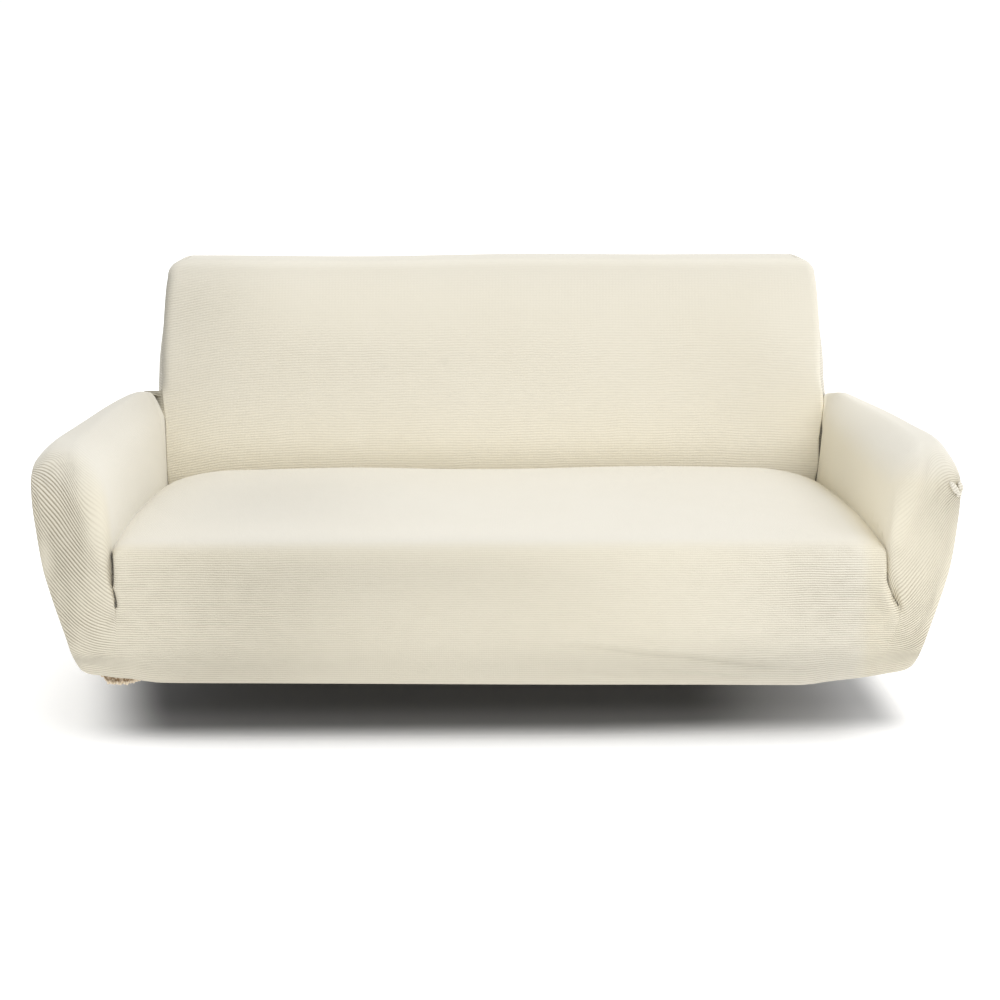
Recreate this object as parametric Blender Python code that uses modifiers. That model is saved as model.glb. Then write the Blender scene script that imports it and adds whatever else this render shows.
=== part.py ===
"""Fitted stretch slipcover for a sofa: five sewn panels of thin knit cloth, hollow and open below.

Lengths are metres. The tables are measured from the floor (z = 0), from the front plane (y = 0, +y goes
back) and from the middle (x = 0, +x is the right arm as seen from the front). The finished panels are
moved so that the origin is the point under the top of the back where the cover is held.
"""
import math

import bpy
import numpy as np

# ------------------------------------------------------------------ driving dimensions
CLOTH = 0.002            # thickness of the knit
SEAM_GAP = 0.00036       # clear gap between two panels along a seam
DART_GAP = 0.0006        # clear gap between the two edges of the seat and arm dart
REAR_GAP = 0.0022        # clear gap behind an arm, where its cloth meets the back's side strip
CORNER_GAP = {"left": 0.0016, "right": 0.0005}   # clear gap at an arm's front corner seam
CORNER_R = 0.015         # rounding between an arm's front and its outer side
ARM_REAR_Y = 0.733       # where an arm's cloth ends at the back
BACK_TOP_Z = 0.906       # top of the back above the floor
BACK_SHOULDER_X = 0.708  # where the straight top ends and the rounded shoulder begins
BACK_FOOT_Y = 0.832      # outside of the back at the hem
BACK_HEAD_Y = 0.932      # outside of the back at the top
BACK_EDGE_R = 0.020      # rounding of the outside back's edges
TUCK_Z = 0.350           # how deep the seat and back cloth are tucked in between them
ARM_CREST_Z = 0.592      # top of the arm's cloth where it meets the back
REAR_SEAM_OUT = {"left": 0.0, "right": 0.0085}   # how much wider the back is beside the arm
RIGHT_ARM_DROP = 0.007   # how much lower the right arm's top is towards the back
REAR_TURN = 0.42         # share of an arm's rear edge that runs up beside the inside back
HEM_FADE = (0.150, 0.215)  # heights between which the hem's lift fades out
FRONT_BELLY = 0.004      # how far the middle of the front stands out
BACK_CROWN = 0.010       # and the middle of the inside back

HOLD_POINT = (0.0, 0.865, BACK_TOP_Z - CLOTH)   # under the top of the back, in floor coordinates

KNIT_CREAM = (0.80, 0.765, 0.665, 1.0)

# ------------------------------------------------------------------ tables
# The front panel runs in rows from the turned-under hem, up the front and on to the back. A row is one
# line of the cloth: seat_* is its place in the middle, seam_* where it meets the seat and arm seam,
# and arm_1..arm_4 how far up the arm's profile it has come, from the slit outwards. side is its place
# along the outer seam. left_x and right_x are the distance of the seam from the middle.
FRONT_ROWS = (
    # name          seat_y  seat_z  seam_y  seam_z  arm_1  arm_2  arm_3  arm_4  side   left_x  right_x
    ("lip end",     0.0580, 0.1390, 0.0580, 0.139,  0.105, 0.105, 0.105, 0.105, 0.105, 0.7520, 0.7520),
    ("lip",         0.0330, 0.1350, 0.0330, 0.135,  0.130, 0.130, 0.130, 0.130, 0.130, 0.7520, 0.7520),
    ("hem fold",    0.0140, 0.1345, 0.0140, 0.1345, 0.148, 0.148, 0.148, 0.148, 0.148, 0.7520, 0.7520),
    ("hem edge",    0.0050, 0.1410, 0.0050, 0.141,  0.156, 0.156, 0.156, 0.157, 0.157, 0.7520, 0.7520),
    ("hem top",     0.0010, 0.1650, 0.0010, 0.165,  0.171, 0.171, 0.172, 0.174, 0.176, 0.7520, 0.7540),
    ("low front",   0.0000, 0.2050, 0.0000, 0.205,  0.206, 0.208, 0.214, 0.227, 0.239, 0.7500, 0.7630),
    ("front",       0.0000, 0.2400, 0.0000, 0.240,  0.242, 0.250, 0.271, 0.308, 0.330, 0.7470, 0.7780),
    ("under slit",  0.0000, 0.2720, 0.0000, 0.272,  0.277, 0.299, 0.345, 0.403, 0.434, 0.7445, 0.7860),
    ("slit foot",   0.0000, 0.2930, 0.0040, 0.293,  0.303, 0.338, 0.393, 0.455, 0.482, 0.7450, 0.7850),
    ("slit",        0.0005, 0.3180, 0.0230, 0.318,  0.347, 0.393, 0.451, 0.501, 0.513, 0.7490, 0.7730),
    ("mid slit",    0.0010, 0.3500, 0.0330, 0.350,  0.392, 0.449, 0.506, 0.533, 0.529, 0.7525, 0.7610),
    ("slit head",   0.0040, 0.3830, 0.0360, 0.383,  0.437, 0.503, 0.547, 0.556, 0.540, 0.7530, 0.7600),
    ("seat roll",   0.0170, 0.4080, 0.0380, 0.402,  0.484, 0.551, 0.580, 0.580, 0.551, 0.7535, 0.7590),
    ("seat front",  0.0520, 0.4215, 0.0680, 0.409,  0.548, 0.600, 0.613, 0.608, 0.568, 0.7530, 0.7580),
    ("seat 1",      0.1300, 0.4270, 0.1380, 0.415,  0.615, 0.652, 0.660, 0.658, 0.606, 0.7530, 0.7570),
    ("seat 2",      0.2500, 0.4310, 0.2500, 0.419,  0.758, 0.766, 0.770, 0.770, 0.705, 0.7535, 0.7565),
    ("seat 3",      0.4000, 0.4350, 0.4000, 0.413,  0.955, 0.957, 0.958, 0.958, 0.880, 0.7545, 0.7570),
    ("seat 4",      0.5500, 0.4350, 0.5500, 0.402,  1.120, 1.120, 1.120, 1.120, 1.045, 0.7570, 0.7590),
    ("seat 5",      0.6600, 0.4320, 0.6600, 0.391,  1.235, 1.235, 1.235, 1.235, 1.155, 0.7600, 0.7620),
    ("seat rear",   0.7150, 0.4200, 0.7150, 0.381,  1.285, 1.285, 1.285, 1.285, 1.200, 0.7625, 0.7640),
    ("tuck",        0.7420, 0.3880, 0.7420, 0.366,  1.320, 1.320, 1.320, 1.320, 1.230, 0.7640, 0.7648),
    ("tuck end",    0.7546, 0.3500, 0.7546, 0.350,  1.350, 1.350, 1.350, 1.350, 1.250, 0.7650, 0.7650),
)
CORNER_ROW = 11          # the row that ends at the corner of the outer seam
SLIT_ROW = 8             # the row at the foot of the slit
LAST_ROW = len(FRONT_ROWS) - 1

# Profile of an arm seen from the side, by the distance run along it from the hem
ARM_PROFILE = (
    # run    y       z
    (0.105, 0.0580, 0.1390),
    (0.130, 0.0330, 0.1350),
    (0.148, 0.0140, 0.1345),
    (0.156, 0.0050, 0.1410),
    (0.171, 0.0010, 0.1650),
    (0.250, 0.0000, 0.2500),
    (0.450, 0.0000, 0.4500),
    (0.535, 0.0010, 0.5350),
    (0.568, 0.0060, 0.5670),
    (0.600, 0.0220, 0.5930),
    (0.632, 0.0480, 0.6090),
    (0.670, 0.0850, 0.6155),
    (0.800, 0.2100, 0.6175),
    (1.000, 0.4100, 0.6185),
    (1.200, 0.6100, 0.6170),
    (1.270, 0.6800, 0.6145),
    (1.312, 0.7200, 0.6060),
    (1.350, 0.7500, 0.5910),
)

# The outer seam of an arm: up the front corner, then back along the widest line of the arm.
# inward is how far the turned-under hem has come in from the outside.
SIDE_SEAM = (
    # run    y       z       inward
    (0.105, 0.0600, 0.1390, 0.0500),
    (0.130, 0.0400, 0.1360, 0.0280),
    (0.148, 0.0260, 0.1365, 0.0110),
    (0.157, 0.0190, 0.1440, 0.0030),
    (0.176, 0.0160, 0.1700, 0.0000),
    (0.300, 0.0170, 0.3000, 0.0000),
    (0.450, 0.0200, 0.4500, 0.0000),
    (0.520, 0.0250, 0.5190, 0.0000),
    (0.540, 0.0340, 0.5370, 0.0000),
    (0.568, 0.0570, 0.5360, 0.0000),
    (0.606, 0.0930, 0.5300, 0.0000),
    (0.700, 0.1830, 0.5220, 0.0000),
    (0.900, 0.3830, 0.5160, 0.0000),
    (1.100, 0.5830, 0.5100, 0.0000),
    (1.190, 0.6730, 0.5050, 0.0000),
    (1.250, 0.7330, 0.5000, 0.0000),
)
CORNER_RUN = 0.540
RIGHT_SEAM_FORWARD = 0.018  # the right slit's head lies this much nearer to the front than the left one's
LEFT_SEAM_FORWARD = 0.011   # the left corner seam sits this much further round onto the arm's front
LEFT_CORNER_RISE = 0.034    # and ends this much higher
LEFT_ROWS_AHEAD = 0.020     # so the rows that fan out from it are further up the arm's profile

# Half width of the cover's outside at the front corner, by height
OUTSIDE = (
    # z     x
    (0.150, 0.8160),
    (0.165, 0.8235),
    (0.210, 0.8400),
    (0.255, 0.8530),
    (0.300, 0.8660),
    (0.340, 0.8765),
    (0.380, 0.8855),
    (0.460, 0.8945),
    (0.520, 0.8985),
    (0.550, 0.8980),
    (0.585, 0.8905),
    (0.620, 0.8720),
)

# How much narrower the outside gets towards the rear, at arm height and at the hem
TAPER = (
    # y     left    right   hem
    (0.00, 0.0020, 0.0010, 0.0000),
    (0.12, -0.0060, -0.0040, 0.0040),
    (0.23, 0.0010, 0.0110, 0.0090),
    (0.35, 0.0110, 0.0240, 0.0140),
    (0.47, 0.0220, 0.0360, 0.0190),
    (0.60, 0.0400, 0.0530, 0.0250),
    (0.69, 0.0620, 0.0690, 0.0290),
    (0.74, 0.0820, 0.0850, 0.0310),
)

# Rise of the hem above its lowest line, by distance from the middle
HEM_RISE = (
    # x      rise
    (-0.900, 0.0370),
    (-0.830, 0.0290),
    (-0.780, 0.0245),
    (-0.755, 0.0205),
    (-0.731, 0.0185),
    (-0.710, 0.0160),
    (-0.686, 0.0110),
    (-0.650, 0.0090),
    (-0.480, 0.0070),
    (-0.250, 0.0045),
    (0.120, 0.0005),
    (0.400, -0.0015),
    (0.600, -0.0035),
    (0.660, 0.0040),
    (0.720, 0.0110),
    (0.780, 0.0210),
    (0.830, 0.0285),
    (0.900, 0.0370),
)

# The back seen from the front, by height: half width of the inside and outside panels, place of the
# front face, rounding at its side edges, and how far the side strip bulges out behind that edge
BACK_SHAPE = (
    # z     inside  outside face_y  edge_r  bulge
    (0.130, 0.7650, 0.7900, 0.7550, 0.0030, 0.0000),
    (0.350, 0.7650, 0.7900, 0.7550, 0.0030, 0.0000),
    (0.400, 0.7650, 0.7900, 0.7480, 0.0050, 0.0000),
    (0.450, 0.7650, 0.7890, 0.7490, 0.0080, 0.0000),
    (0.520, 0.7655, 0.7870, 0.7560, 0.0100, 0.0000),
    (0.600, 0.7720, 0.7850, 0.7640, 0.0180, 0.0095),
    (0.660, 0.7715, 0.7795, 0.7700, 0.0180, 0.0105),
    (0.700, 0.7700, 0.7740, 0.7740, 0.0180, 0.0090),
    (0.745, 0.7675, 0.7690, 0.7785, 0.0180, 0.0050),
    (0.790, 0.7638, 0.7640, 0.7830, 0.0180, 0.0018),
    (0.850, 0.7570, 0.7570, 0.7885, 0.0180, 0.0000),
    (0.866, 0.7540, 0.7540, 0.7900, 0.0180, 0.0000),
    (0.906, 0.7540, 0.7540, 0.7930, 0.0180, 0.0000),
)
SHOULDER_Z = 0.866       # where the rounded shoulder begins

# Seat crown: soft mounds that leave a dip between them
SEAT_MOUNDS = (
    # x      height  spread
    (-0.330, 0.0060, 0.200),
    (0.360, 0.0070, 0.240),
)

# Soft folds of the front cloth: rows at their two ends, and how far in from the seam they lie there
FRONT_FOLDS = (
    # side    row_1  away_1  row_2  away_2  height  width
    ("right", 9.3,   0.024,  6.2,   0.008,  0.0050, 0.011),
    ("right", 5.6,   0.060,  4.6,   0.260,  0.0030, 0.060),
)

# Gathers of the turned-under hem: its inner edge waves up and down
LIP_WAVE = (0.0016, 0.058)   # height of a wave, and its length

# ------------------------------------------------------------------ how finely each panel is divided
ROW_STEPS = (1, 1, 1, 1, 1, 1, 1, 1, 1, 1, 1, 1, 2, 2, 2, 2, 2, 1, 1, 1, 1)   # per gap in FRONT_ROWS
ARM_PLACES = (0.0, 0.08, 0.18, 0.28, 0.36, 0.44, 0.54, 0.64, 0.74, 0.82, 0.91, 1.0)
SEAT_DISTANCES = (0.0, 0.003, 0.009, 0.022, 0.05, 0.10, 0.18, 0.28, 0.40, 0.53, 0.65)
BACK_DISTANCES = (0.0, 0.003, 0.009, 0.020, 0.06, 0.14, 0.25, 0.38, 0.52, 0.65)
SHOULDER_STEPS = (0.0, 0.35, 0.62, 0.82, 0.94, 1.0)
BACK_HEIGHTS = (0.640, 0.700, 0.750, 0.800, 0.840)
STRIP_PLACES = (0.0, 0.3, 0.65, 1.0)
TOP_DEPTHS = (0.33, 0.66, 1.0)         # rows over the top of the back
CORNER_SHARES = (0.3, 0.65)            # two more columns of an arm side, next to its front corner

# Where a panel stops short of its seam, so that a clear gap is left
TUCK_TRIM = 0.010        # part of the last row gap, at the tuck
ARM_TRIM = 0.004         # share of an arm's width, at its outer seam
STRIP_TRIM = 0.004       # share of the side strip's depth, at the inside back
TOP_TRIM = 0.0036        # share of the top's depth, at the outside back


# ------------------------------------------------------------------ smooth curves through a table
def through(knots, values):
    """Return a function that runs smoothly through the values without overshooting them."""
    k = np.asarray(knots, float)
    v = np.asarray(values, float)
    h = np.diff(k)
    step = np.diff(v) / h
    slope = np.zeros(len(k))
    slope[0], slope[-1] = step[0], step[-1]
    for i in range(1, len(k) - 1):
        if step[i - 1] * step[i] > 0:
            a, b = 2 * h[i] + h[i - 1], h[i] + 2 * h[i - 1]
            slope[i] = (a + b) / (a / step[i - 1] + b / step[i])

    def value(x):
        x = min(max(float(x), k[0]), k[-1])
        i = min(int(np.searchsorted(k, x, side="right")) - 1, len(k) - 2)
        s = (x - k[i]) / h[i]
        return ((2 * s**3 - 3 * s**2 + 1) * v[i] + (s**3 - 2 * s**2 + s) * h[i] * slope[i]
                + (3 * s**2 - 2 * s**3) * v[i + 1] + (s**3 - s**2) * h[i] * slope[i + 1])

    return value


def columns(table, first=1):
    """Smooth curves of a table's columns over its first column."""
    knots = [row[0] for row in table]
    return [through(knots, [row[i] for row in table]) for i in range(first, len(table[0]))]


def ease(x, low, high):
    """0 below low, 1 above high, smooth between."""
    s = min(max((x - low) / (high - low), 0.0), 1.0)
    return s * s * (3 - 2 * s)


def quarter_round(distance, radius, power=0.5):
    """Height gained on a rounded edge at a distance in from its foot, from 0 to 1. 0.5 is a quarter round,
    and a larger power starts less steeply."""
    s = min(max(distance / radius, 0.0), 1.0)
    return max(1 - (1 - s) ** 2, 0.0) ** power


def mix(a, b, share):
    return a + (b - a) * share


def bspline(points, a):
    """Point at a, from 0 to 1, on a cubic B-spline that starts and ends on its outer points."""
    p = np.asarray(points, float)
    p = np.vstack([2 * p[0] - p[1], p, 2 * p[-1] - p[-2]])
    spans = len(p) - 3
    u = min(max(a, 0.0), 1.0) * spans
    i = min(int(u), spans - 1)
    s = u - i
    w = np.array([(1 - s) ** 3, 3 * s**3 - 6 * s**2 + 4, -3 * s**3 + 3 * s**2 + 3 * s + 1, s**3]) / 6
    return w @ p[i:i + 4]


NUMBERED_ROWS = [(number, *row[1:]) for number, row in enumerate(FRONT_ROWS)]
(SEAT_Y, SEAT_Z, SEAM_Y, SEAM_Z, ARM_1, ARM_2, ARM_3, ARM_4, SIDE_RUN,
 LEFT_X, RIGHT_X) = columns(NUMBERED_ROWS)
SEAM_X = {"left": LEFT_X, "right": RIGHT_X}
ARM_Y, ARM_Z = columns(ARM_PROFILE)
SIDE_Y, SIDE_Z, SIDE_IN = columns(SIDE_SEAM)
OUTSIDE_X, = columns(OUTSIDE)
TAPER_LEFT, TAPER_RIGHT, TAPER_HEM = columns(TAPER)
TAPER_TOP = {"left": TAPER_LEFT, "right": TAPER_RIGHT}
HEM_LIFT, = columns(HEM_RISE)
INSIDE_HALF, OUTSIDE_HALF, FACE_Y, FACE_EDGE, STRIP_BULGE = columns(BACK_SHAPE)
SIGN = {"left": -1.0, "right": 1.0}
SIDES = ("left", "right")


# ------------------------------------------------------------------ shared shapes
def hem_shift(x, z):
    """Lift of the hem line at x, fading out up the cloth."""
    return HEM_LIFT(x) * (1 - ease(z, *HEM_FADE))


def lip_wave(along, inward):
    """Gathers of the turned-under hem, strongest at its inner edge."""
    height, length = LIP_WAVE
    return height * ease(inward, 0.010, 0.045) * math.sin(2 * math.pi * along / length)


def outside_x(side, y, z):
    """Distance from the middle of the cover's outside at a side, z before the hem's lift."""
    taper = mix(TAPER_HEM(y), TAPER_TOP[side](y), ease(z, 0.16, 0.50))
    corner = CORNER_R * (1 - quarter_round(y, CORNER_R))
    return OUTSIDE_X(z + hem_shift(SIGN[side] * OUTSIDE[1][1], z)) - taper - corner


def side_seam(side, run):
    """Place (x, y, z) of the outer seam, x as a distance from the middle, before the hem's lift."""
    y, z = SIDE_Y(run), SIDE_Z(run)
    if side == "left":
        on_front = ease(run, 0.17, 0.25) * (1 - ease(run, CORNER_RUN, 0.60))
        y -= LEFT_SEAM_FORWARD * on_front
        z += LEFT_CORNER_RISE * ease(run, 0.45, CORNER_RUN) * (1 - ease(run, CORNER_RUN, 0.78))
    return outside_x(side, y, z) - SIDE_IN(run), y, z


def back_half(z, outline):
    """Half width of the back at a height, with the rounded shoulder at the top."""
    if z <= SHOULDER_Z:
        return outline(z)
    s = min((z - SHOULDER_Z) / (BACK_TOP_Z - SHOULDER_Z), 1.0)
    return mix(BACK_SHOULDER_X, outline(SHOULDER_Z), math.sqrt(max(1 - s * s, 0.0)))


def top_wave(x, z):
    """The top edge of the back is a little uneven."""
    wave = 0.0020 * math.sin(4.2 * x + 0.3) + 0.0012 * math.sin(9.5 * x + 1.2) - 0.0015
    return wave * ease(z, 0.80, BACK_TOP_Z)


def inside_half(side, z):
    """Half width of the inside back at a side."""
    beside_arm = ease(z, 0.375, 0.44) * (1 - ease(z, 0.56, 0.62))
    return back_half(z, INSIDE_HALF) + REAR_SEAM_OUT[side] * beside_arm


def rear_y(z):
    return mix(BACK_FOOT_Y, BACK_HEAD_Y, (z - SIDE_SEAM[0][2]) / (BACK_TOP_Z - SIDE_SEAM[0][2]))


# ------------------------------------------------------------------ front panel
def rear_edge(side, a):
    """Rear end of an arm's cloth: up beside the inside back, over, and down to the side seam."""
    if a < REAR_TURN:
        z = mix(TUCK_Z, ARM_CREST_Z, a / REAR_TURN)
        x, y = inside_half(side, z) + SEAM_GAP, FACE_Y(z) + FACE_EDGE(z)
    else:
        s = (a - REAR_TURN) / (1 - REAR_TURN)
        low_x, low_y, low_z = side_seam(side, SIDE_SEAM[-1][0])
        z = mix(ARM_CREST_Z, low_z, s**1.6)
        x = mix(inside_half(side, ARM_CREST_Z) + SEAM_GAP, low_x, math.sin(s * math.pi / 2))
        y = mix(FACE_Y(ARM_CREST_Z) + FACE_EDGE(ARM_CREST_Z), low_y, ease(s, 0.0, 0.8))
    return np.array([SIGN[side] * x, y, z])


def seam_y(side, t):
    """Place of the seat and arm seam. The right one lies further forward beside the seat's corner."""
    forward = RIGHT_SEAM_FORWARD * ease(t, 8.2, 9.6) * (1 - ease(t, 12.0, 13.6))
    return SEAM_Y(t) - forward * (side == "right")


def arm_point(side, t, a):
    """Point of the arm's cloth on row t, a running from the seam (0) to the outer seam (1)."""
    seam_x, seam_yz = SEAM_X[side](t), np.array([seam_y(side, t), SEAM_Z(t)])
    outer_x, *outer_yz = side_seam(side, SIDE_RUN(t))
    ahead = LEFT_ROWS_AHEAD * ease(t, 8.0, CORNER_ROW) * (1 - ease(t, CORNER_ROW, 15.0))
    runs = [curve(t) + ahead * share * (side == "left")
            for curve, share in ((ARM_1, 0.0), (ARM_2, 0.2), (ARM_3, 0.6), (ARM_4, 1.0))]
    edge, near, far, rim = [np.array([ARM_Y(run), ARM_Z(run)]) for run in runs]
    on_top = ease(runs[3], 0.50, 0.64)
    width = outer_x - seam_x
    full_x = outside_x(side, max(rim[0], CORNER_R), min(rim[1], 0.52)) - SIDE_IN(SIDE_RUN(t))
    rim_x = full_x - min(mix(0.012, 0.034, on_top), 0.25 * width)
    turned = ease(runs[0], 0.28, 0.60) * (1 - 0.6 * ease(t, LAST_ROW - 3.5, LAST_ROW - 1.0))
    edge_x = seam_x + min(mix(0.010, 0.056, turned), mix(0.2, 0.42, turned) * width)
    flat = max(1 - outer_yz[0] / CORNER_R, 0.0)
    reach = 0.38 * (outer_yz[0] - rim[0]) + 0.003 * flat
    round_corner = np.array([outer_x - reach * flat, outer_yz[0] - reach * math.sqrt(1 - flat**2),
                             mix(rim[1], outer_yz[1], 0.62)])
    round_top = np.array([outer_x + 0.0015, *mix(rim, np.array(outer_yz), 0.62)])
    rear_open = 0.004 * ease(t, LAST_ROW - 4.0, LAST_ROW - 1.0)
    net = [
        (seam_x, *seam_yz),
        (seam_x + 0.0012, *mix(seam_yz, edge, 0.42)),
        (mix(seam_x, edge_x, mix(0.4, 0.12, turned)) + rear_open, *mix(seam_yz, edge, mix(0.86, 0.76, turned))),
        (edge_x + rear_open, *edge),
        (mix(edge_x, rim_x, 0.36) + rear_open, *near),
        (mix(edge_x, rim_x, 0.70), *far),
        (rim_x, *rim),
        tuple(mix(round_corner, round_top, on_top)),
        (outer_x, *outer_yz),
    ]
    point = bspline(net, a)
    point[0] *= SIGN[side]
    if side == "right":
        point[2] -= RIGHT_ARM_DROP * ease(point[1], 0.25, 0.62) * ease(point[2], 0.50, 0.60)
    point[2] += hem_shift(point[0], point[2]) + lip_wave(point[0], SIDE_IN(SIDE_RUN(t)))
    return mix(point, rear_edge(side, a), ease(t, LAST_ROW - 2.0, LAST_ROW))


def front_folds(fold_side, t, away):
    """How far the soft folds push the front cloth out, on row t at a distance in from a side's seam."""
    out = 0.0
    for side, row_1, away_1, row_2, away_2, height, width in FRONT_FOLDS:
        if side == fold_side:
            s = (row_1 - t) / (row_1 - row_2)
            fade = ease(s, -0.2, 0.3) * (1 - ease(s, 0.7, 1.2))
            out += height * fade * math.exp(-((away - mix(away_1, away_2, s)) / width) ** 2)
    return out


def seat_point(t, side, away):
    """Point of the seat and front cloth on row t, at a distance in from a side's seam."""
    half = SEAM_X[side](t)
    away = away * half / SEAM_X[side](0)
    x = SIGN[side] * (half - away)
    on_top = ease(t, 11.5, 14.0)
    rounding = mix(0.010, 0.066, on_top) + 0.100 * ease(t, 15.0, 18.0)
    full = quarter_round(away, rounding, mix(0.5, 0.7, on_top))
    y = mix(seam_y(side, t), SEAT_Y(t), full)
    z = mix(SEAM_Z(t), SEAT_Z(t), full)
    on_seat = ease(t, 12.5, 15.5) * (1 - ease(t, LAST_ROW - 2.0, LAST_ROW - 0.4))
    mounds = sum(height * math.exp(-((x - at) / spread) ** 2) for at, height, spread in SEAT_MOUNDS)
    z += on_seat * full * mounds
    z += hem_shift(x, z) + lip_wave(x, SIDE_IN(SIDE_RUN(t)))
    on_front = ease(t, 4.0, 6.0) * (1 - ease(t, 9.0, 12.5))
    y -= FRONT_BELLY * on_front * full * (1 - (x / half) ** 2)
    return np.array([x, y - front_folds(side, t, away) * full, z])


# ------------------------------------------------------------------ arm sides, inside back, outside back
def side_point(side, row_run, top_run):
    """Outer side of an arm and of the base. row_run is the run up the front corner, top_run the run
    along the arm: each has the same place on the panel's rear end and bottom."""
    _, front_y, front_z = side_seam(side, row_run)
    _, top_y, top_z = side_seam(side, top_run)
    _, corner_y, corner_z = side_seam(side, CORNER_RUN)
    up = (row_run - SIDE_SEAM[0][0]) / (CORNER_RUN - SIDE_SEAM[0][0])
    along = (top_y - corner_y) / (ARM_REAR_Y - corner_y)
    y = mix(front_y, ARM_REAR_Y, along)
    z = front_z + (top_z - corner_z) * ease(up, 0.25, 1.0)
    x = outside_x(side, y, z) - SIDE_IN(row_run)
    z += HEM_LIFT(SIGN[side] * x) * (1 - ease(z, *HEM_FADE)) * (1 - 0.6 * along)
    z += lip_wave(y, SIDE_IN(row_run)) * ease(along, 0.0, 0.1)
    return np.array([SIGN[side] * x, y, z])


def back_face_point(z, side, away):
    """Front of the inside back at a height, at a distance in from a side's edge."""
    half = inside_half(side, z)
    x = SIGN[side] * (half - away * half / INSIDE_HALF(TUCK_Z))
    edge = FACE_EDGE(z)
    full = quarter_round(half - abs(x), edge) * quarter_round(BACK_TOP_Z - z, 0.018)
    crown = BACK_CROWN * (1 - (x / half) ** 2) * ease(z, 0.36, 0.50) * (1 - ease(z, 0.78, BACK_TOP_Z))
    return np.array([x, FACE_Y(z) + edge * (1 - full) - crown, z + top_wave(x, z)])


def back_top_point(depth, side, away):
    """Top of the back, depth running from the front edge (0) to the rear edge (1)."""
    front = FACE_Y(BACK_TOP_Z) + FACE_EDGE(BACK_TOP_Z)
    x = SIGN[side] * BACK_SHOULDER_X * (1 - away / INSIDE_HALF(TUCK_Z))
    y = mix(front, rear_y(BACK_TOP_Z) - BACK_EDGE_R, depth)
    return np.array([x, y, BACK_TOP_Z + top_wave(x, BACK_TOP_Z)])


def strip_point(side, row, depth):
    """Side strip of the outside back at a row (z, inward, front x, front y), depth front to rear."""
    z, inward, front_x, front_y = row
    rear_x = back_half(z, OUTSIDE_HALF) - inward
    rear = rear_y(z) - BACK_EDGE_R - inward
    bulge = STRIP_BULGE(z) * math.sin(math.pi * min(depth * 1.15, 1.0))
    x = SIGN[side] * (mix(front_x, rear_x, depth) + bulge)
    y = mix(front_y, rear, depth)
    wave = lip_wave(y, inward) * ease(depth, 0.0, 0.3)
    lift = HEM_LIFT(SIGN[side] * 0.79) * 0.4 * (1 - depth) * (1 - ease(z, *HEM_FADE))
    return np.array([x, y, z + top_wave(x, z) + wave + lift])


def rear_point(row, side, away):
    """Rear face of the outside back at a distance in from a side's edge."""
    z, inward = row[:2]
    half = back_half(z, OUTSIDE_HALF) - inward
    x = SIGN[side] * (half - away * half / OUTSIDE_HALF(TUCK_Z))
    full = quarter_round(half - abs(x), BACK_EDGE_R) * quarter_round(BACK_TOP_Z - z, BACK_EDGE_R)
    y = rear_y(z) - inward - BACK_EDGE_R * (1 - full)
    wave = lip_wave(x, inward) * ease(half - abs(x), 0.0, 0.03)
    return np.array([x, y, z + top_wave(x, z) + wave])


# ------------------------------------------------------------------ meshes
def divided(steps):
    """Row numbers, with each gap between two table rows divided as given."""
    values = [0.0]
    for number, count in enumerate(steps):
        values += [number + part / count for part in range(1, count + 1)]
    return values


def grid_mesh(name, grids):
    """One open mesh from grids of points, whose shared points are one where they coincide."""
    vertices, faces, index = [], [], {}

    def vertex(point):
        key = tuple(round(float(c), 6) for c in point)
        if key not in index:
            index[key] = len(vertices)
            vertices.append([c - o for c, o in zip(point, HOLD_POINT)])
        return index[key]

    for grid, flip in grids:
        numbers = [[vertex(point) for point in line] for line in grid]
        for low, high in zip(numbers, numbers[1:]):
            for k in range(len(low) - 1):
                face = [low[k], low[k + 1], high[k + 1], high[k]]
                face = [v for i, v in enumerate(face) if v != face[i - 1]]
                if len(face) > 2:
                    faces.append(face[::-1] if flip else face)
    mesh = bpy.data.meshes.new(name)
    mesh.from_pydata(vertices, [], faces)
    mesh.validate()
    return mesh


def cloth_material(name):
    material = bpy.data.materials.new(name)
    material.use_nodes = True
    surface = material.node_tree.nodes["Principled BSDF"]
    surface.inputs["Base Color"].default_value = KNIT_CREAM
    surface.inputs["Roughness"].default_value = 0.92
    surface.inputs["Metallic"].default_value = 0.0
    return material


def add_panel(name, grids, collection):
    """Make a panel: the outer face is the modelled surface, and the cloth is thickened inwards."""
    mesh = grid_mesh(name, grids)
    panel = bpy.data.objects.new(name, mesh)
    collection.objects.link(panel)
    panel.data.materials.append(cloth_material(name + "_knit"))
    thick = panel.modifiers.new("cloth", "SOLIDIFY")
    thick.thickness = CLOTH
    thick.offset = -1.0
    thick.use_rim = True
    mesh.shade_smooth()
    mesh.set_sharp_from_angle(angle=math.radians(50))
    return panel


def trim(values, first=0.0, last=0.0):
    """Pull the ends of a list of places in, which opens the gap of a seam."""
    return [values[0] + first, *values[1:-1], values[-1] - last]


def front_panel_grids():
    rows = trim(divided(ROW_STEPS), 0.0, TUCK_TRIM)
    grids = []
    for side in SIDES:
        arm, seat = [], []
        for t in rows:
            open_dart = 0.0 if t <= SLIT_ROW else DART_GAP / 2
            apart = np.array([SIGN[side] * open_dart, 0.0, 0.0])
            arm.append([arm_point(side, t, a) + apart * (1 - a) for a in trim(ARM_PLACES, 0.0, ARM_TRIM)])
            seat.append([seat_point(t, side, d) - apart for d in SEAT_DISTANCES]
                        + [seat_point(t, side, SEAM_X[side](0))])
        grids.append((arm, side == "left"))
        grids.append((seat, side == "right"))
    return grids


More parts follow.
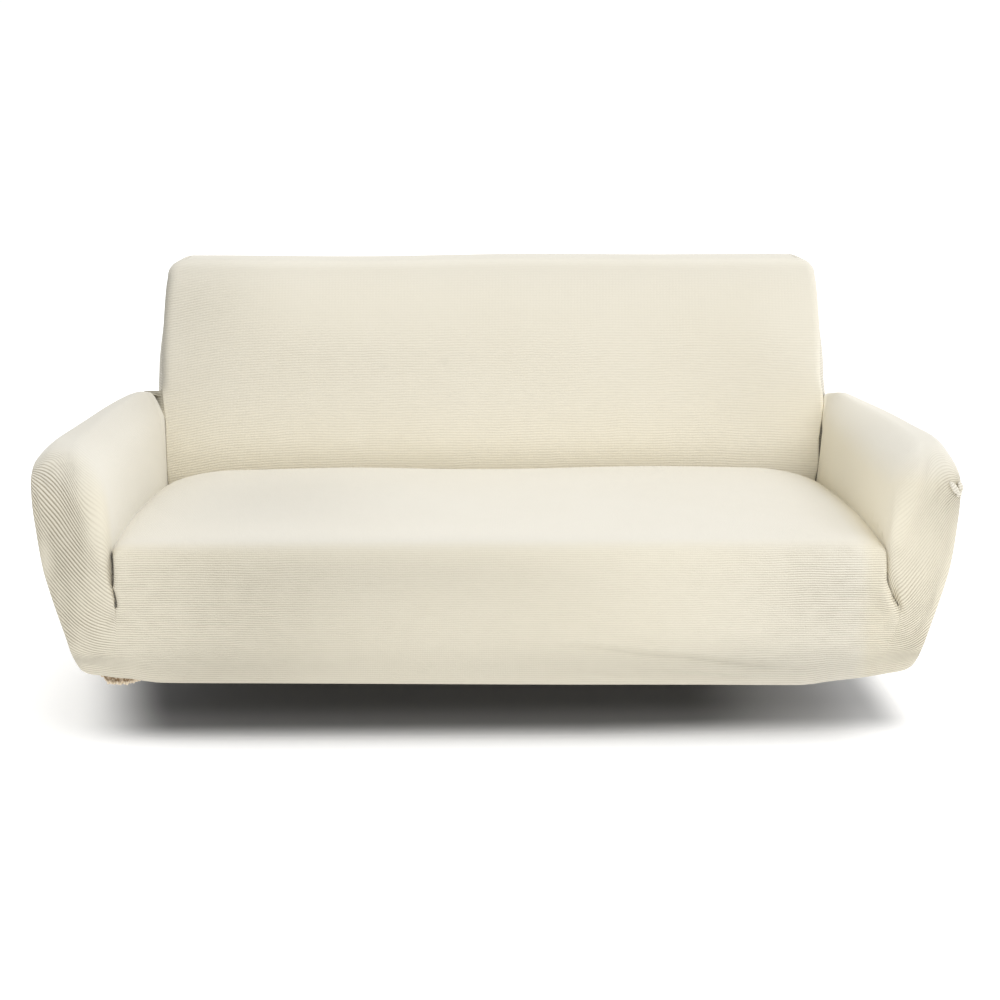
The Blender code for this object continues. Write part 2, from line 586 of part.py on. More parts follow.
def side_panel_grid(side):
    rows = divided(ROW_STEPS)
    gap = CORNER_GAP[side]
    corner_runs = trim([SIDE_RUN(t) for t in rows if t <= CORNER_ROW], 0.0, gap)
    top_runs = trim([SIDE_RUN(t) for t in rows if t >= CORNER_ROW], gap, SEAM_GAP)
    top_runs[1:1] = [mix(top_runs[0], top_runs[1], share) for share in CORNER_SHARES]
    grid = [[side_point(side, low, top) for top in top_runs] for low in corner_runs]
    return [(grid, side == "left")]


def mirrored_line(point_at, distances, middle):
    """Points from the left edge, over the middle, to the right edge."""
    left = [point_at("left", d) for d in distances]
    right = [point_at("right", d) for d in distances]
    return left + [point_at("left", middle)] + right[::-1]


def back_rows():
    """Heights of the inside back's rows: beside the arms as their cloth is divided, then freely."""
    beside_arms = [rear_edge("left", a)[2] for a in ARM_PLACES if a <= REAR_TURN]
    shoulder = [mix(SHOULDER_Z, BACK_TOP_Z, s) for s in SHOULDER_STEPS]
    return beside_arms + [ARM_CREST_Z, *BACK_HEIGHTS, *shoulder]


def inside_back_grid():
    middle = INSIDE_HALF(TUCK_Z)
    distances = trim(BACK_DISTANCES, SEAM_GAP)
    heights = trim(back_rows(), SEAM_GAP / 2)
    grid = [mirrored_line(lambda side, d: back_face_point(z, side, d), distances, middle) for z in heights]
    grid += [mirrored_line(lambda side, d: back_top_point(depth, side, d), distances, middle)
             for depth in trim(TOP_DEPTHS, 0.0, TOP_TRIM)]
    return [(grid, False)]


def outside_back_rows(side):
    """Rows of the outside back: height, how far the hem is turned in, and the strip's front edge."""
    rows = []
    for t in divided(ROW_STEPS):
        if t > CORNER_ROW:
            break
        run = SIDE_RUN(t)
        x, y, z = side_point(side, run, SIDE_SEAM[-1][0])
        rows.append((SIDE_Z(run) + (z - SIDE_Z(run)) * ease(run, 0.2, CORNER_RUN), SIDE_IN(run), abs(x), y))
    for a in ARM_PLACES[::-1]:
        if REAR_TURN < a < 1.0:
            x, y, z = rear_edge(side, a)
            rows.append((z, 0.0, abs(x), y + REAR_GAP))
    for z in [z for z in back_rows() if z >= ARM_CREST_Z]:
        clear = REAR_GAP * (1 - ease(z, ARM_CREST_Z, BACK_HEIGHTS[0]))
        rows.append((z, 0.0, inside_half(side, z), FACE_Y(z) + FACE_EDGE(z) + clear))
    return rows


def outside_back_grid():
    middle = OUTSIDE_HALF(TUCK_Z)
    depths = trim(STRIP_PLACES, STRIP_TRIM)
    grid = []
    for left, right in zip(outside_back_rows("left"), outside_back_rows("right")):
        near_top = ease(left[0], BACK_TOP_Z - 0.004, BACK_TOP_Z) * SEAM_GAP
        left, right = [(row[0] - near_top, *row[1:]) for row in (left, right)]
        line = [strip_point("left", left, depth) for depth in depths]
        line += [rear_point(left, "left", d) for d in BACK_DISTANCES[1:]]
        line += [rear_point(left, "left", middle)]
        line += [rear_point(right, "right", d) for d in BACK_DISTANCES[:0:-1]]
        line += [strip_point("right", right, depth) for depth in depths[::-1]]
        grid.append(line)
    return [(grid, True)]


def main():
    for old in list(bpy.data.objects):
        bpy.data.objects.remove(old, do_unlink=True)
    collection = bpy.data.collections.new("sofa_slipcover")
    bpy.context.scene.collection.children.link(collection)
    add_panel("front_panel", front_panel_grids(), collection)
    for side in SIDES:
        add_panel("arm_side_" + side, side_panel_grid(side), collection)
    add_panel("inside_back", inside_back_grid(), collection)
    add_panel("outside_back", outside_back_grid(), collection)


main()
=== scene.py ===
"""Looks of the fitted slipcover: five fine sheets of ribbed cream knit, one in place of each solid.

Lengths are metres, and millimetres in the tables. As in the part's own source, places are measured from the
floor (z = 0), from the front plane (y = 0, +y goes back) and from the middle (x = 0). Finished sheets are
moved so that the origin is the point under the top of the back where the cover is held.
"""
import math

import bpy
import numpy as np
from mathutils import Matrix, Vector


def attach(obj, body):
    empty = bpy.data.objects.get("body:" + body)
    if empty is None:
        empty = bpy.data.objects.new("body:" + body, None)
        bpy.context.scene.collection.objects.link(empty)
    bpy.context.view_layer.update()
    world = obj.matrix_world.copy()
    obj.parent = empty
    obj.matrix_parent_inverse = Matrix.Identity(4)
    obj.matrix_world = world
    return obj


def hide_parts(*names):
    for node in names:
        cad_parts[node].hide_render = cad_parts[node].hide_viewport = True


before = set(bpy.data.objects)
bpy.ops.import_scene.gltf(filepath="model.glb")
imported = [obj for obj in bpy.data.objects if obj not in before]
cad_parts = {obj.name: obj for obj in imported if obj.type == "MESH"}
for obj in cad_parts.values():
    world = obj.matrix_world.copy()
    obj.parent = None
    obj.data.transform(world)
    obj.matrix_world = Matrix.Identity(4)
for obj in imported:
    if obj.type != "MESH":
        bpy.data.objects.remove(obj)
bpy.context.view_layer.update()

# ---------------------------- driving dimensions
CLOTH = 0.002  # thickness of the knit
CORNER_R = 0.015  # rounding between an arm's front and its outer side
ARM_REAR_Y = 0.733  # where an arm's cloth ends at the back
BACK_TOP_Z = 0.906  # top of the back above the floor
BACK_SHOULDER_X = 0.708  # where the straight top ends and the rounded shoulder begins
BACK_FOOT_Y = 0.832  # outside of the back at the hem
BACK_HEAD_Y = 0.932  # outside of the back at the top
BACK_EDGE_R = 0.020  # rounding of the outside back's edges
FACE_TOP_R = 0.018  # and of the inside back's top edge
SEAM_EDGE_R = (0.010, 0.066)  # and beside the seat and arm seam, on the front and on the seat
SEAT_REAR_R = 0.100  # more of it towards the rear of the seat
ARM_INNER_R = (0.010, 0.056)  # and of an arm's inner edge, on the front and on top
ARM_OUTER_R = (0.012, 0.034)  # and of its outer edge
TAPER_HEIGHTS = (0.16, 0.50)  # heights between which the hem's taper turns into the arm's
TUCK_Z = 0.350  # how deep the seat and back cloth are tucked in between them
HEM_FADE = (0.150, 0.215)  # heights between which the hem's lift fades out
FRONT_BELLY = 0.004  # how far the middle of the front stands out
BACK_CROWN = 0.010  # and the middle of the inside back
RIGHT_ARM_DROP = 0.007  # how much lower the right arm's top is towards the back
REAR_TURN = 0.42  # share of an arm's rear edge that runs up beside the inside back
ABOVE_ARMS_Z = 0.590  # where the back's side is free of the arm
STRIP_DROP = 0.022  # how much lower the cloth behind an arm's rounded end lies at the rear
HOLD_POINT = (0.0, 0.865, BACK_TOP_Z - CLOTH)  # under the top of the back, in floor coordinates

ARM_CREST_Z = {"left": 0.603, "right": 0.593}  # top of the arm's cloth where it meets the back
REAR_TURN_Z = {"left": 0.538, "right": 0.583}  # where that end starts to round over towards the top
REAR_ROUND = {"left": 0.42, "right": 0.15}  # share of the way across at which it has reached the top
REAR_OPEN = {"left": 0.0015, "right": 0.0020}  # how far an arm's inner wall stands out towards its rear
REAR_SEAM_OUT = {"left": 0.0, "right": 0.0085}  # how much wider the back is beside the arm
EDGE_BESIDE_ARM = {"left": 0.15, "right": 0.12}  # share of the back's edge rounding that is left there

# How far the back's edge lies in from the deep crease beside the right arm, by height
REAR_CREASE = ((350, 1), (400, 2), (445, 4.2), (485, 5.2), (505, 3), (530, 0))
CREASE_START = (0.345, 0.365)  # heights between which the crease begins
REAR_GAPE = 2 / 3  # the arm has drawn back from it by this share of the back's own distance

# The front panel runs in rows from the turned-under hem, up the front and on to the back. A row is one
# line of the cloth. seat is its place in the middle, seam where it meets the seat and arm seam, and arm 1
# to 4 how far up the arm's profile it has come, from the slit outwards. side is its place along the outer
# seam. left and right x are the distances of the seat and arm seam from the middle.
FRONT_ROWS = (
    # name        seat y, z     seam y, z     arm 1, 2, 3, 4          side  left, right x
    ("lip end",       58,   139,    58,   139,  105,  105,  105,  105,  105,   752,   752),
    ("lip",           33,   135,    33,   135,  130,  130,  130,  130,  130,   752,   752),
    ("hem fold",      14, 134.5,    14, 134.5,  148,  148,  148,  148,  148,   752,   752),
    ("hem edge",       5,   141,     5,   141,  156,  156,  156,  157,  157,   752,   752),
    ("hem top",        1,   165,     1,   165,  171,  171,  172,  174,  176,   752,   754),
    ("low front",      0,   205,     0,   205,  206,  208,  214,  227,  239,   750,   763),
    ("front",          0,   240,     0,   240,  242,  250,  271,  308,  330,   747,   778),
    ("under slit",     0,   272,     0,   272,  277,  299,  345,  403,  434, 744.5,   786),
    ("slit foot",      0,   293,     4,   293,  303,  338,  393,  455,  482,   745,   785),
    ("slit",         0.5,   318,    23,   318,  347,  393,  451,  501,  513,   749,   773),
    ("mid slit",       1,   350,    33,   350,  392,  449,  506,  533,  529, 752.5,   761),
    ("slit head",      4,   383,    36,   383,  437,  503,  547,  556,  540,   753,   760),
    ("seat roll",     17,   408,    38,   402,  484,  551,  580,  580,  551, 753.5,   759),
    ("seat front",    52, 421.5,    68,   409,  548,  600,  613,  608,  568,   753,   758),
    ("seat 1",       130,   427,   138,   415,  615,  652,  660,  658,  606,   753,   757),
    ("seat 2",       250,   431,   250,   419,  758,  766,  770,  770,  705, 753.5, 756.5),
    ("seat 3",       400,   435,   400,   413,  955,  957,  958,  958,  880, 754.5,   757),
    ("seat 4",       550,   435,   550,   402, 1120, 1120, 1120, 1120, 1045,   757,   759),
    ("seat 5",       660,   432,   660,   391, 1235, 1235, 1235, 1235, 1155,   760,   762),
    ("seat rear",    715,   420,   715,   381, 1285, 1285, 1285, 1285, 1200, 762.5,   764),
    ("tuck",         742,   388,   742,   366, 1320, 1320, 1320, 1320, 1230,   764, 764.8),
    ("tuck end",   754.6,   350, 754.6,   350, 1350, 1350, 1350, 1350, 1250,   765,   765),
)
CORNER_ROW = 11  # the row that ends at the corner of the outer seam
SLIT_ROW = 8  # the row at the foot of the slit
LAST_ROW = len(FRONT_ROWS) - 1

# Profile of an arm seen from the side, by the distance run along it from the hem
ARM_PROFILE = (
    # run, y, z
    (105, 58, 139), (130, 33, 135), (148, 14, 134.5), (156, 5, 141), (171, 1, 165), (250, 0, 250),
    (450, 0, 450), (535, 1, 535), (568, 6, 567), (600, 22, 593), (632, 48, 609), (670, 85, 615.5),
    (800, 210, 617.5), (1000, 410, 618.5), (1200, 610, 617), (1270, 680, 614.5), (1312, 720, 609),
    (1350, 750, 601),
)

# The outer seam of an arm: up the front corner, then back along the widest line of the arm.
# inward is how far the turned-under hem has come in from the outside.
SIDE_SEAM = (
    # run, y, z, inward
    (105, 60, 139, 50), (130, 40, 136, 28), (148, 26, 136.5, 11), (157, 19, 144, 3),
    (176, 16, 170, 0), (300, 17, 300, 0), (450, 20, 450, 0), (520, 25, 519, 0), (540, 34, 537, 0),
    (568, 57, 536, 0), (606, 93, 530, 0), (700, 183, 522, 0), (900, 383, 516, 0),
    (1100, 583, 510, 0), (1190, 673, 505, 0), (1250, 733, 500, 0),
)
CORNER_RUN = 0.540  # where the front corner turns into the arm's widest line
RIGHT_SEAM_FORWARD = 0.018  # the right slit's head lies this much nearer to the front than the left one's
LEFT_SEAM_FORWARD = 0.011  # the left corner seam sits this much further round onto the arm's front
LEFT_CORNER_RISE = 0.034  # and ends this much higher
LEFT_ROWS_AHEAD = 0.020  # so the rows that fan out from it are further up the arm's profile

# Height and half width of the cover's outside at the front corner
OUTSIDE = (
    (150, 816), (165, 823.5), (210, 840), (255, 853), (300, 866), (340, 876.5), (380, 885.5),
    (460, 894.5), (520, 898.5), (550, 898), (585, 890.5), (620, 872),
)

# How much narrower the outside gets towards the rear, at arm height and at the hem
TAPER = (
    # y, left, right, hem
    (0, 2, 1, 0), (120, -6, -4, 4), (230, 1, 11, 9), (350, 11, 24, 14), (470, 22, 36, 19),
    (600, 40, 53, 25), (690, 62, 69, 29), (740, 82, 85, 31),
)

# Rise of the hem, by the distance from the middle
HEM_RISE = (
    (-900, 37), (-830, 29), (-780, 24.5), (-755, 20.5), (-731, 18.5), (-710, 16), (-686, 11), (-650, 9),
    (-480, 7), (-250, 4.5), (120, 0.5), (400, -1.5), (600, -3.5), (660, 4), (720, 11), (780, 21),
    (830, 28.5), (900, 37),
)

# The back seen from the front, by height: half width of the inside and outside panels, place of the
# front face, rounding at its side edges, and how far the side strip bulges out behind that edge
BACK_SHAPE = (
    # z, inside, outside, face_y, edge_r, bulge
    (130, 765, 790, 755, 3, 0), (350, 765, 790, 755, 3, 0), (400, 765, 790, 748, 5, 0),
    (450, 765, 789, 749, 8, 0), (520, 765.5, 787, 756, 10, 0), (600, 772, 785, 764, 18, 9.5),
    (660, 771.5, 779.5, 770, 18, 10.5), (700, 770, 774, 774, 18, 9),
    (745, 767.5, 769, 778.5, 18, 5), (790, 763.8, 764, 783, 18, 1.8), (850, 757, 757, 788.5, 18, 0),
    (866, 754, 754, 790, 18, 0), (906, 754, 754, 793, 18, 0),
)
SHOULDER_Z = 0.866  # where the rounded shoulder begins

# Seat crown: soft mounds that leave a dip between them
SEAT_MOUNDS = ((-330, 6, 200), (360, 7, 240))  # x, height, spread

# Soft folds of the front cloth: rows at their two ends, how far in from the seam they lie there, height
# and width
FRONT_FOLDS = (
    ("right", (9.3, 6.2), (24, 8, 5, 11)),
    ("right", (5.6, 4.6), (60, 260, 3, 60)),
)

# Where the two edges of the seat and arm dart part, by row, and how far each draws back from the other
SLITS = {
    "left": ((8.05, 9.6, 3.0), (9.75, 12.05, 3.6)),
    "right": ((8.1, 10.3, 0.3),),
}

# Waves of the back's top: height in metres, turn for each metre across, start
TOP_WAVES = ((0.0020, 4.2, 0.3), (0.0012, 9.5, 1.2))
TOP_SAG = 0.0015  # and how far it is lowered in all

# The turned-under hem's inner edge waves up and down
LIP_WAVE = 0.0016  # height of a wave
LIP_WAVE_LENGTH = 0.058
LIP_WAVE_IN = (0.010, 0.045)  # it grows from here to there, inward from the outside

# Rows, runs and heights at which these forms start, are full, begin to fade and are gone
SEAM_FORWARD_ROWS = (8.2, 9.6, 12.0, 13.6)  # RIGHT_SEAM_FORWARD
SEAM_FORWARD_RUNS = (0.17, 0.25, CORNER_RUN, 0.60)  # LEFT_SEAM_FORWARD
CORNER_RISE_RUNS = (0.45, CORNER_RUN, CORNER_RUN, 0.78)  # LEFT_CORNER_RISE
AHEAD_ROWS = (SLIT_ROW, CORNER_ROW, CORNER_ROW, 15.0)  # LEFT_ROWS_AHEAD
BELLY_ROWS = (4.0, 6.0, 9.0, 12.5)  # FRONT_BELLY
MOUND_ROWS = (12.5, 15.5, LAST_ROW - 2.0, LAST_ROW - 0.4)  # SEAT_MOUNDS
CROWN_HEIGHTS = (0.36, 0.50, 0.78, BACK_TOP_Z)  # BACK_CROWN
BESIDE_ARM_HEIGHTS = (0.38, 0.43, 0.585, 0.65)  # EDGE_BESIDE_ARM
SEAM_OUT_HEIGHTS = (0.375, 0.44, 0.56, 0.62)  # REAR_SEAM_OUT
EDGE_SHADE_HEIGHTS = (0.58, 0.63, 0.86, 0.905)  # LEFT_EDGE_DARK

SEAT_TURN_ROWS = (11.5, 14.0)  # rows between which the front turns into the seat
OUTER_TURN_RUNS = (0.50, 0.64)  # runs between which an arm's front turns into its top at the outer edge
INNER_TURN_RUNS = (0.28, 0.60)  # and at the inner edge

# ---------------------------- ribs of the knit
RIB_PITCH = 0.0060  # from one rib to the next

# How much closer than RIB_PITCH the ribs lie, by row of the front panel. The arm's rows part from the
# seat's at the slit.
SEAT_RIB_CLOSENESS = ((0.0, 1.33, 1.33), (12.0, 1.30, 1.30), (14.0, 1.05, 1.05), (21.0, 1.0, 1.0))
ARM_RIB_CLOSENESS = (
    # row, left, right
    (0.0, 1.33, 1.33), (8.0, 1.30, 1.36), (9.0, 0.98, 1.30), (10.5, 0.80, 1.02), (12.5, 0.72, 0.90),
    (21.0, 0.72, 0.90),
)

# Rise of the ribs over the inside back, by distance from the middle
BACK_RIB_RISE = ((-770, -40), (-620, -14), (-450, -4), (0, 0), (450, 3), (770, -6))

# ---------------------------- how finely each sheet is divided
FRONT_STEP = 0.0100  # rows of the front panel, which lie closer at the hem and beside the slits
ARM_COLUMNS = 84  # from the seat's seam to the outer seam of an arm
SEAT_SEAM_PLACES = (0.0, 0.0015, 0.0035, 0.006, 0.010, 0.015, 0.021)  # next to the seam
SEAT_EVEN_FROM = 0.030
SEAT_STEP = 0.0240  # and from there to the middle
SIDE_STEP = 0.009
BACK_EDGE_PLACES = (0.0, 0.0015, 0.004, 0.008, 0.013, 0.019)  # next to the back's side edges
BACK_EVEN_FROM = 0.027
BACK_STEP = 0.009  # and from there to the middle, and up the back
TOP_STEP = 0.09  # share of the depth of the back's top
STRIP_STEP = 0.08  # and of the outside back's side strips
ARM_END_ROWS = 14  # rows of those strips beside an arm's rounded end
STRIP_START = 0.97  # place on an arm's rear edge at which they begin
STRIP_END = (REAR_ROUND["left"], 0.03)  # and end, as a share of its rounded stretch, left and right


# ---------------------------- smooth curves through a table
class Curve:
    """Smooth curve through a table's values that doesn't overshoot them, for one place or an array."""

    def __init__(self, knots, values):
        self.k = np.asarray(knots, float)
        self.v = np.asarray(values, float)
        self.h = np.diff(self.k)
        step = np.diff(self.v) / self.h
        self.slope = np.zeros(len(self.k))
        self.slope[0], self.slope[-1] = step[0], step[-1]
        for i in range(1, len(self.k) - 1):
            if step[i - 1] * step[i] > 0:
                a = 2 * self.h[i] + self.h[i - 1]
                b = self.h[i] + 2 * self.h[i - 1]
                self.slope[i] = (a + b) / (a / step[i - 1] + b / step[i])

    def __call__(self, x):
        k, v, h, slope = self.k, self.v, self.h, self.slope
        x = np.clip(np.asarray(x, float), k[0], k[-1])
        i = np.minimum(np.searchsorted(k, x, side="right") - 1, len(k) - 2)
        s = (x - k[i]) / h[i]
        return ((2 * s**3 - 3 * s**2 + 1) * v[i] + (s**3 - 2 * s**2 + s) * h[i] * slope[i]
                + (3 * s**2 - 2 * s**3) * v[i + 1] + (s**3 - s**2) * h[i] * slope[i + 1])


def metres(millimetres):
    return np.asarray(millimetres, float) / 1000


def columns(table, knots_in=metres, values_in=metres):
    """Smooth curves of a table's columns over its first column."""
    knots, *values = zip(*table)
    return [Curve(knots_in(knots), values_in(column)) for column in values]


def ease(x, low, high):
    """0 below low, 1 above high, smooth between."""
    s = np.clip((np.asarray(x, float) - low) / (high - low), 0.0, 1.0)
    return s * s * (3 - 2 * s)


def window(x, start, full, fading, end):
    """0 outside, 1 from full to fading, smooth between."""
    return ease(x, start, full) * (1 - ease(x, fading, end))


def quarter_round(distance, radius, power=0.5):
    """Height gained on a rounded edge at a distance in from its foot, from 0 to 1. 0.5 is a quarter round,
    and a larger power starts less steeply."""
    s = np.clip(distance / radius, 0.0, 1.0)
    return np.maximum(1 - (1 - s) ** 2, 0.0) ** power


def mix(a, b, share):
    return a + (b - a) * share


def stack(*coordinates):
    """Points from their coordinates, which are spread to one shape."""
    return np.stack(np.broadcast_arrays(*coordinates), axis=-1)


def split(points):
    return np.moveaxis(points, -1, 0)


def bspline(net, a):
    """Places a, from 0 to 1, on each row's cubic B-spline, which starts and ends on its outer points."""
    net = np.concatenate([2 * net[:, :1] - net[:, 1:2], net, 2 * net[:, -1:] - net[:, -2:-1]], axis=1)
    spans = net.shape[1] - 3
    u = np.clip(a, 0.0, 1.0) * spans
    i = np.minimum(u.astype(int), spans - 1)
    s = u - i
    weights = ((1 - s) ** 3, 3 * s**3 - 6 * s**2 + 4, -3 * s**3 + 3 * s**2 + 3 * s + 1, s**3)
    return sum(w[None, :, None] * net[:, i + k] for k, w in enumerate(weights)) / 6


(SEAT_Y, SEAT_Z, SEAM_Y, SEAM_Z, ARM_1, ARM_2, ARM_3, ARM_4, SIDE_RUN, LEFT_X, RIGHT_X) = columns(
    [(number, *row[1:]) for number, row in enumerate(FRONT_ROWS)], np.array)
SEAM_X = {"left": LEFT_X, "right": RIGHT_X}
ARM_Y, ARM_Z = columns(ARM_PROFILE)
SIDE_Y, SIDE_Z, SIDE_IN = columns(SIDE_SEAM)
OUTSIDE_X, = columns(OUTSIDE)
TAPER_LEFT, TAPER_RIGHT, TAPER_HEM = columns(TAPER)
TAPER_TOP = {"left": TAPER_LEFT, "right": TAPER_RIGHT}
HEM_LIFT, = columns(HEM_RISE)
SIDES = ("left", "right")
SIGN = {"left": -1.0, "right": 1.0}
SEAT_RIBS = dict(zip(SIDES, columns(SEAT_RIB_CLOSENESS, np.array, np.array)))
ARM_RIBS = dict(zip(SIDES, columns(ARM_RIB_CLOSENESS, np.array, np.array)))
BACK_RIB_LIFT, = columns(BACK_RIB_RISE)
INSIDE_HALF, OUTSIDE_HALF, FACE_Y, FACE_EDGE, STRIP_BULGE = columns(BACK_SHAPE)
HEM_START, REAR_END = metres((SIDE_SEAM[0][0], SIDE_SEAM[-1][0]))  # runs along the outer seam
HEM_FOOT_Z = metres(SIDE_SEAM[0][2])
HEM_CORNER_X = metres(OUTSIDE[1][1])  # where the hem's lift is read for the outer sides
HEM_STRIP_X = 0.79  # and for the outside back's side strips,
HEM_STRIP_SHARE = 0.4  # which take this share of it


# ---------------------------- shapes, as in the part's source
def hem_shift(x, z):
    return HEM_LIFT(x) * (1 - ease(z, *HEM_FADE))


def lip_wave(along, inward):
    return LIP_WAVE * ease(inward, *LIP_WAVE_IN) * np.sin(2 * math.pi * along / LIP_WAVE_LENGTH)


def outside_x(side, y, z):
    taper = mix(TAPER_HEM(y), TAPER_TOP[side](y), ease(z, *TAPER_HEIGHTS))
    corner = CORNER_R * (1 - quarter_round(y, CORNER_R))
    return OUTSIDE_X(z + hem_shift(SIGN[side] * HEM_CORNER_X, z)) - taper - corner


def side_seam(side, run):
    y, z = SIDE_Y(run), SIDE_Z(run)
    if side == "left":
        y = y - LEFT_SEAM_FORWARD * window(run, *SEAM_FORWARD_RUNS)
        z = z + LEFT_CORNER_RISE * window(run, *CORNER_RISE_RUNS)
    return outside_x(side, y, z) - SIDE_IN(run), y, z


def back_half(z, outline):
    s = np.clip((z - SHOULDER_Z) / (BACK_TOP_Z - SHOULDER_Z), 0.0, 1.0)
    shoulder = mix(BACK_SHOULDER_X, outline(SHOULDER_Z), np.sqrt(1 - s * s))
    return np.where(z <= SHOULDER_Z, outline(z), shoulder)


def top_wave(x, z):
    wave = sum(height * np.sin(turn * x + start) for height, turn, start in TOP_WAVES) - TOP_SAG
    return wave * ease(z, 0.80, BACK_TOP_Z)


def rear_y(z):
    return mix(BACK_FOOT_Y, BACK_HEAD_Y, (z - HEM_FOOT_Z) / (BACK_TOP_Z - HEM_FOOT_Z))


def rear_crease(z):
    """How far the back's side edge lies in from the deep crease beside the right arm."""
    heights, depths = metres(REAR_CREASE).T
    return np.interp(z, heights, depths, left=0.0) * ease(z, *CREASE_START)


def face_edge(side, z):
    """Rounding of the inside back's side edge."""
    return FACE_EDGE(z) * mix(1.0, EDGE_BESIDE_ARM[side], window(z, *BESIDE_ARM_HEIGHTS))


def inside_half(side, z):
    """Half width of the inside back."""
    half = back_half(z, INSIDE_HALF) + REAR_SEAM_OUT[side] * window(z, *SEAM_OUT_HEIGHTS)
    return half - rear_crease(z) if side == "right" else half


def face_edge_y(side, z):
    """Place of the inside back's side edge."""
    return FACE_Y(z) + face_edge(side, z)


def rear_edge(side, a):
    """Rear end of an arm's cloth: up beside the inside back, over, and down to the side seam."""
    turn_z, crest_z = REAR_TURN_Z[side], ARM_CREST_Z[side]
    z_up = mix(TUCK_Z, turn_z, a / REAR_TURN)
    gape = rear_crease(z_up) * (1 + REAR_GAPE) * (side == "right")
    up = stack(inside_half(side, z_up) + gape, face_edge_y(side, z_up), z_up)
    s = np.clip((a - REAR_TURN) / (1 - REAR_TURN), 0.0, 1.0)
    low_x, low_y, low_z = side_seam(side, REAR_END)
    reached = REAR_ROUND[side]
    rise = (crest_z - turn_z) * np.sin(np.minimum(s / reached, 1.0) * math.pi / 2)
    fall = (crest_z - low_z) * np.clip((s - reached) / (1 - reached), 0.0, 1.0) ** 1.6
    over = stack(mix(inside_half(side, turn_z), low_x, np.sin(s * math.pi / 2)),
                 mix(face_edge_y(side, turn_z), low_y, ease(s, 0.0, 0.8)),
                 turn_z + rise - fall)
    return np.where((a < REAR_TURN)[:, None], up, over) * (SIGN[side], 1.0, 1.0)


def seam_y(side, t):
    """Place of the seat and arm seam. The right one lies further forward beside the seat's corner."""
    return SEAM_Y(t) - RIGHT_SEAM_FORWARD * (side == "right") * window(t, *SEAM_FORWARD_ROWS)


def arm_points(side, t, a):
    """Points of an arm's cloth on rows t, at places a from the seat's seam (0) to the outer seam (1)."""
    seam_x, seam = SEAM_X[side](t), stack(0 * t, seam_y(side, t), SEAM_Z(t))
    outer_x, outer_y, outer_z = side_seam(side, SIDE_RUN(t))
    outer = stack(0 * t, outer_y, outer_z)
    ahead = LEFT_ROWS_AHEAD * (side == "left") * window(t, *AHEAD_ROWS)
    runs = [curve(t) + ahead * share
            for curve, share in ((ARM_1, 0.0), (ARM_2, 0.2), (ARM_3, 0.6), (ARM_4, 1.0))]
    edge, near, far, rim = [stack(0 * t, ARM_Y(run), ARM_Z(run)) for run in runs]
    on_top = ease(runs[3], *OUTER_TURN_RUNS)
    width = outer_x - seam_x
    full_x = (outside_x(side, np.maximum(rim[:, 1], CORNER_R), np.minimum(rim[:, 2], 0.52))
              - SIDE_IN(SIDE_RUN(t)))
    rim_x = full_x - np.minimum(mix(*ARM_OUTER_R, on_top), 0.25 * width)
    turned = ease(runs[0], *INNER_TURN_RUNS)
    edge_x = seam_x + np.minimum(mix(*ARM_INNER_R, turned), mix(0.2, 0.42, turned) * width)
    flat = np.maximum(1 - outer_y / CORNER_R, 0.0)
    reach = 0.38 * (outer_y - rim[:, 1]) + 0.003 * flat
    round_corner = stack(outer_x - reach * flat, outer_y - reach * np.sqrt(1 - flat**2),
                         mix(rim[:, 2], outer_z, 0.62))
    round_top = mix(rim, outer, 0.62) + stack(outer_x + 0.0015, 0.0, 0.0)
    rear_open = REAR_OPEN[side] * ease(t, LAST_ROW - 4.0, LAST_ROW - 1.0)

    def at(x, point):
        return point + stack(x, 0.0, 0.0)

    net = np.stack([
        at(seam_x, seam),
        at(seam_x + 0.0012, mix(seam, edge, 0.42)),
        at(mix(seam_x, edge_x, mix(0.4, 0.12, turned)) + rear_open,
           mix(seam, edge, mix(0.86, 0.76, turned)[:, None])),
        at(edge_x + rear_open, edge),
        at(mix(edge_x, rim_x, 0.36) + rear_open, near),
        at(mix(edge_x, rim_x, 0.70), far),
        at(rim_x, rim),
        mix(round_corner, round_top, on_top[:, None]),
        at(outer_x, outer),
    ], axis=1)
    points = bspline(net, a)
    points[..., 0] *= SIGN[side]
    x, y, z = split(points)
    drop = RIGHT_ARM_DROP * (side == "right") * ease(y, 0.25, 0.62) * ease(z, 0.50, 0.60)
    points[..., 2] = z - drop + hem_shift(x, z) + lip_wave(x, SIDE_IN(SIDE_RUN(t))[:, None])
    return mix(points, rear_edge(side, a)[None], ease(t, LAST_ROW - 2.0, LAST_ROW)[:, None, None])


def front_folds(fold_side, t, away):
    """How far the soft folds push the front cloth out."""
    out = 0.0
    for side, (row_1, row_2), sizes in FRONT_FOLDS:
        if side == fold_side:
            away_1, away_2, height, width = metres(sizes)
            s = (row_1 - t) / (row_1 - row_2)
            fade = window(s, -0.2, 0.3, 0.7, 1.2)
            out = out + height * fade * np.exp(-((away - mix(away_1, away_2, s)) / width) ** 2)
    return out


def slit_opening(side, t):
    """How far an edge of the dart has drawn back on rows t."""
    shares = [(np.clip((t - low) / (high - low), 0.0, 1.0), half) for low, high, half in SLITS[side]]
    return sum(metres(half) * np.sin(math.pi * share) ** 0.5 for share, half in shares)


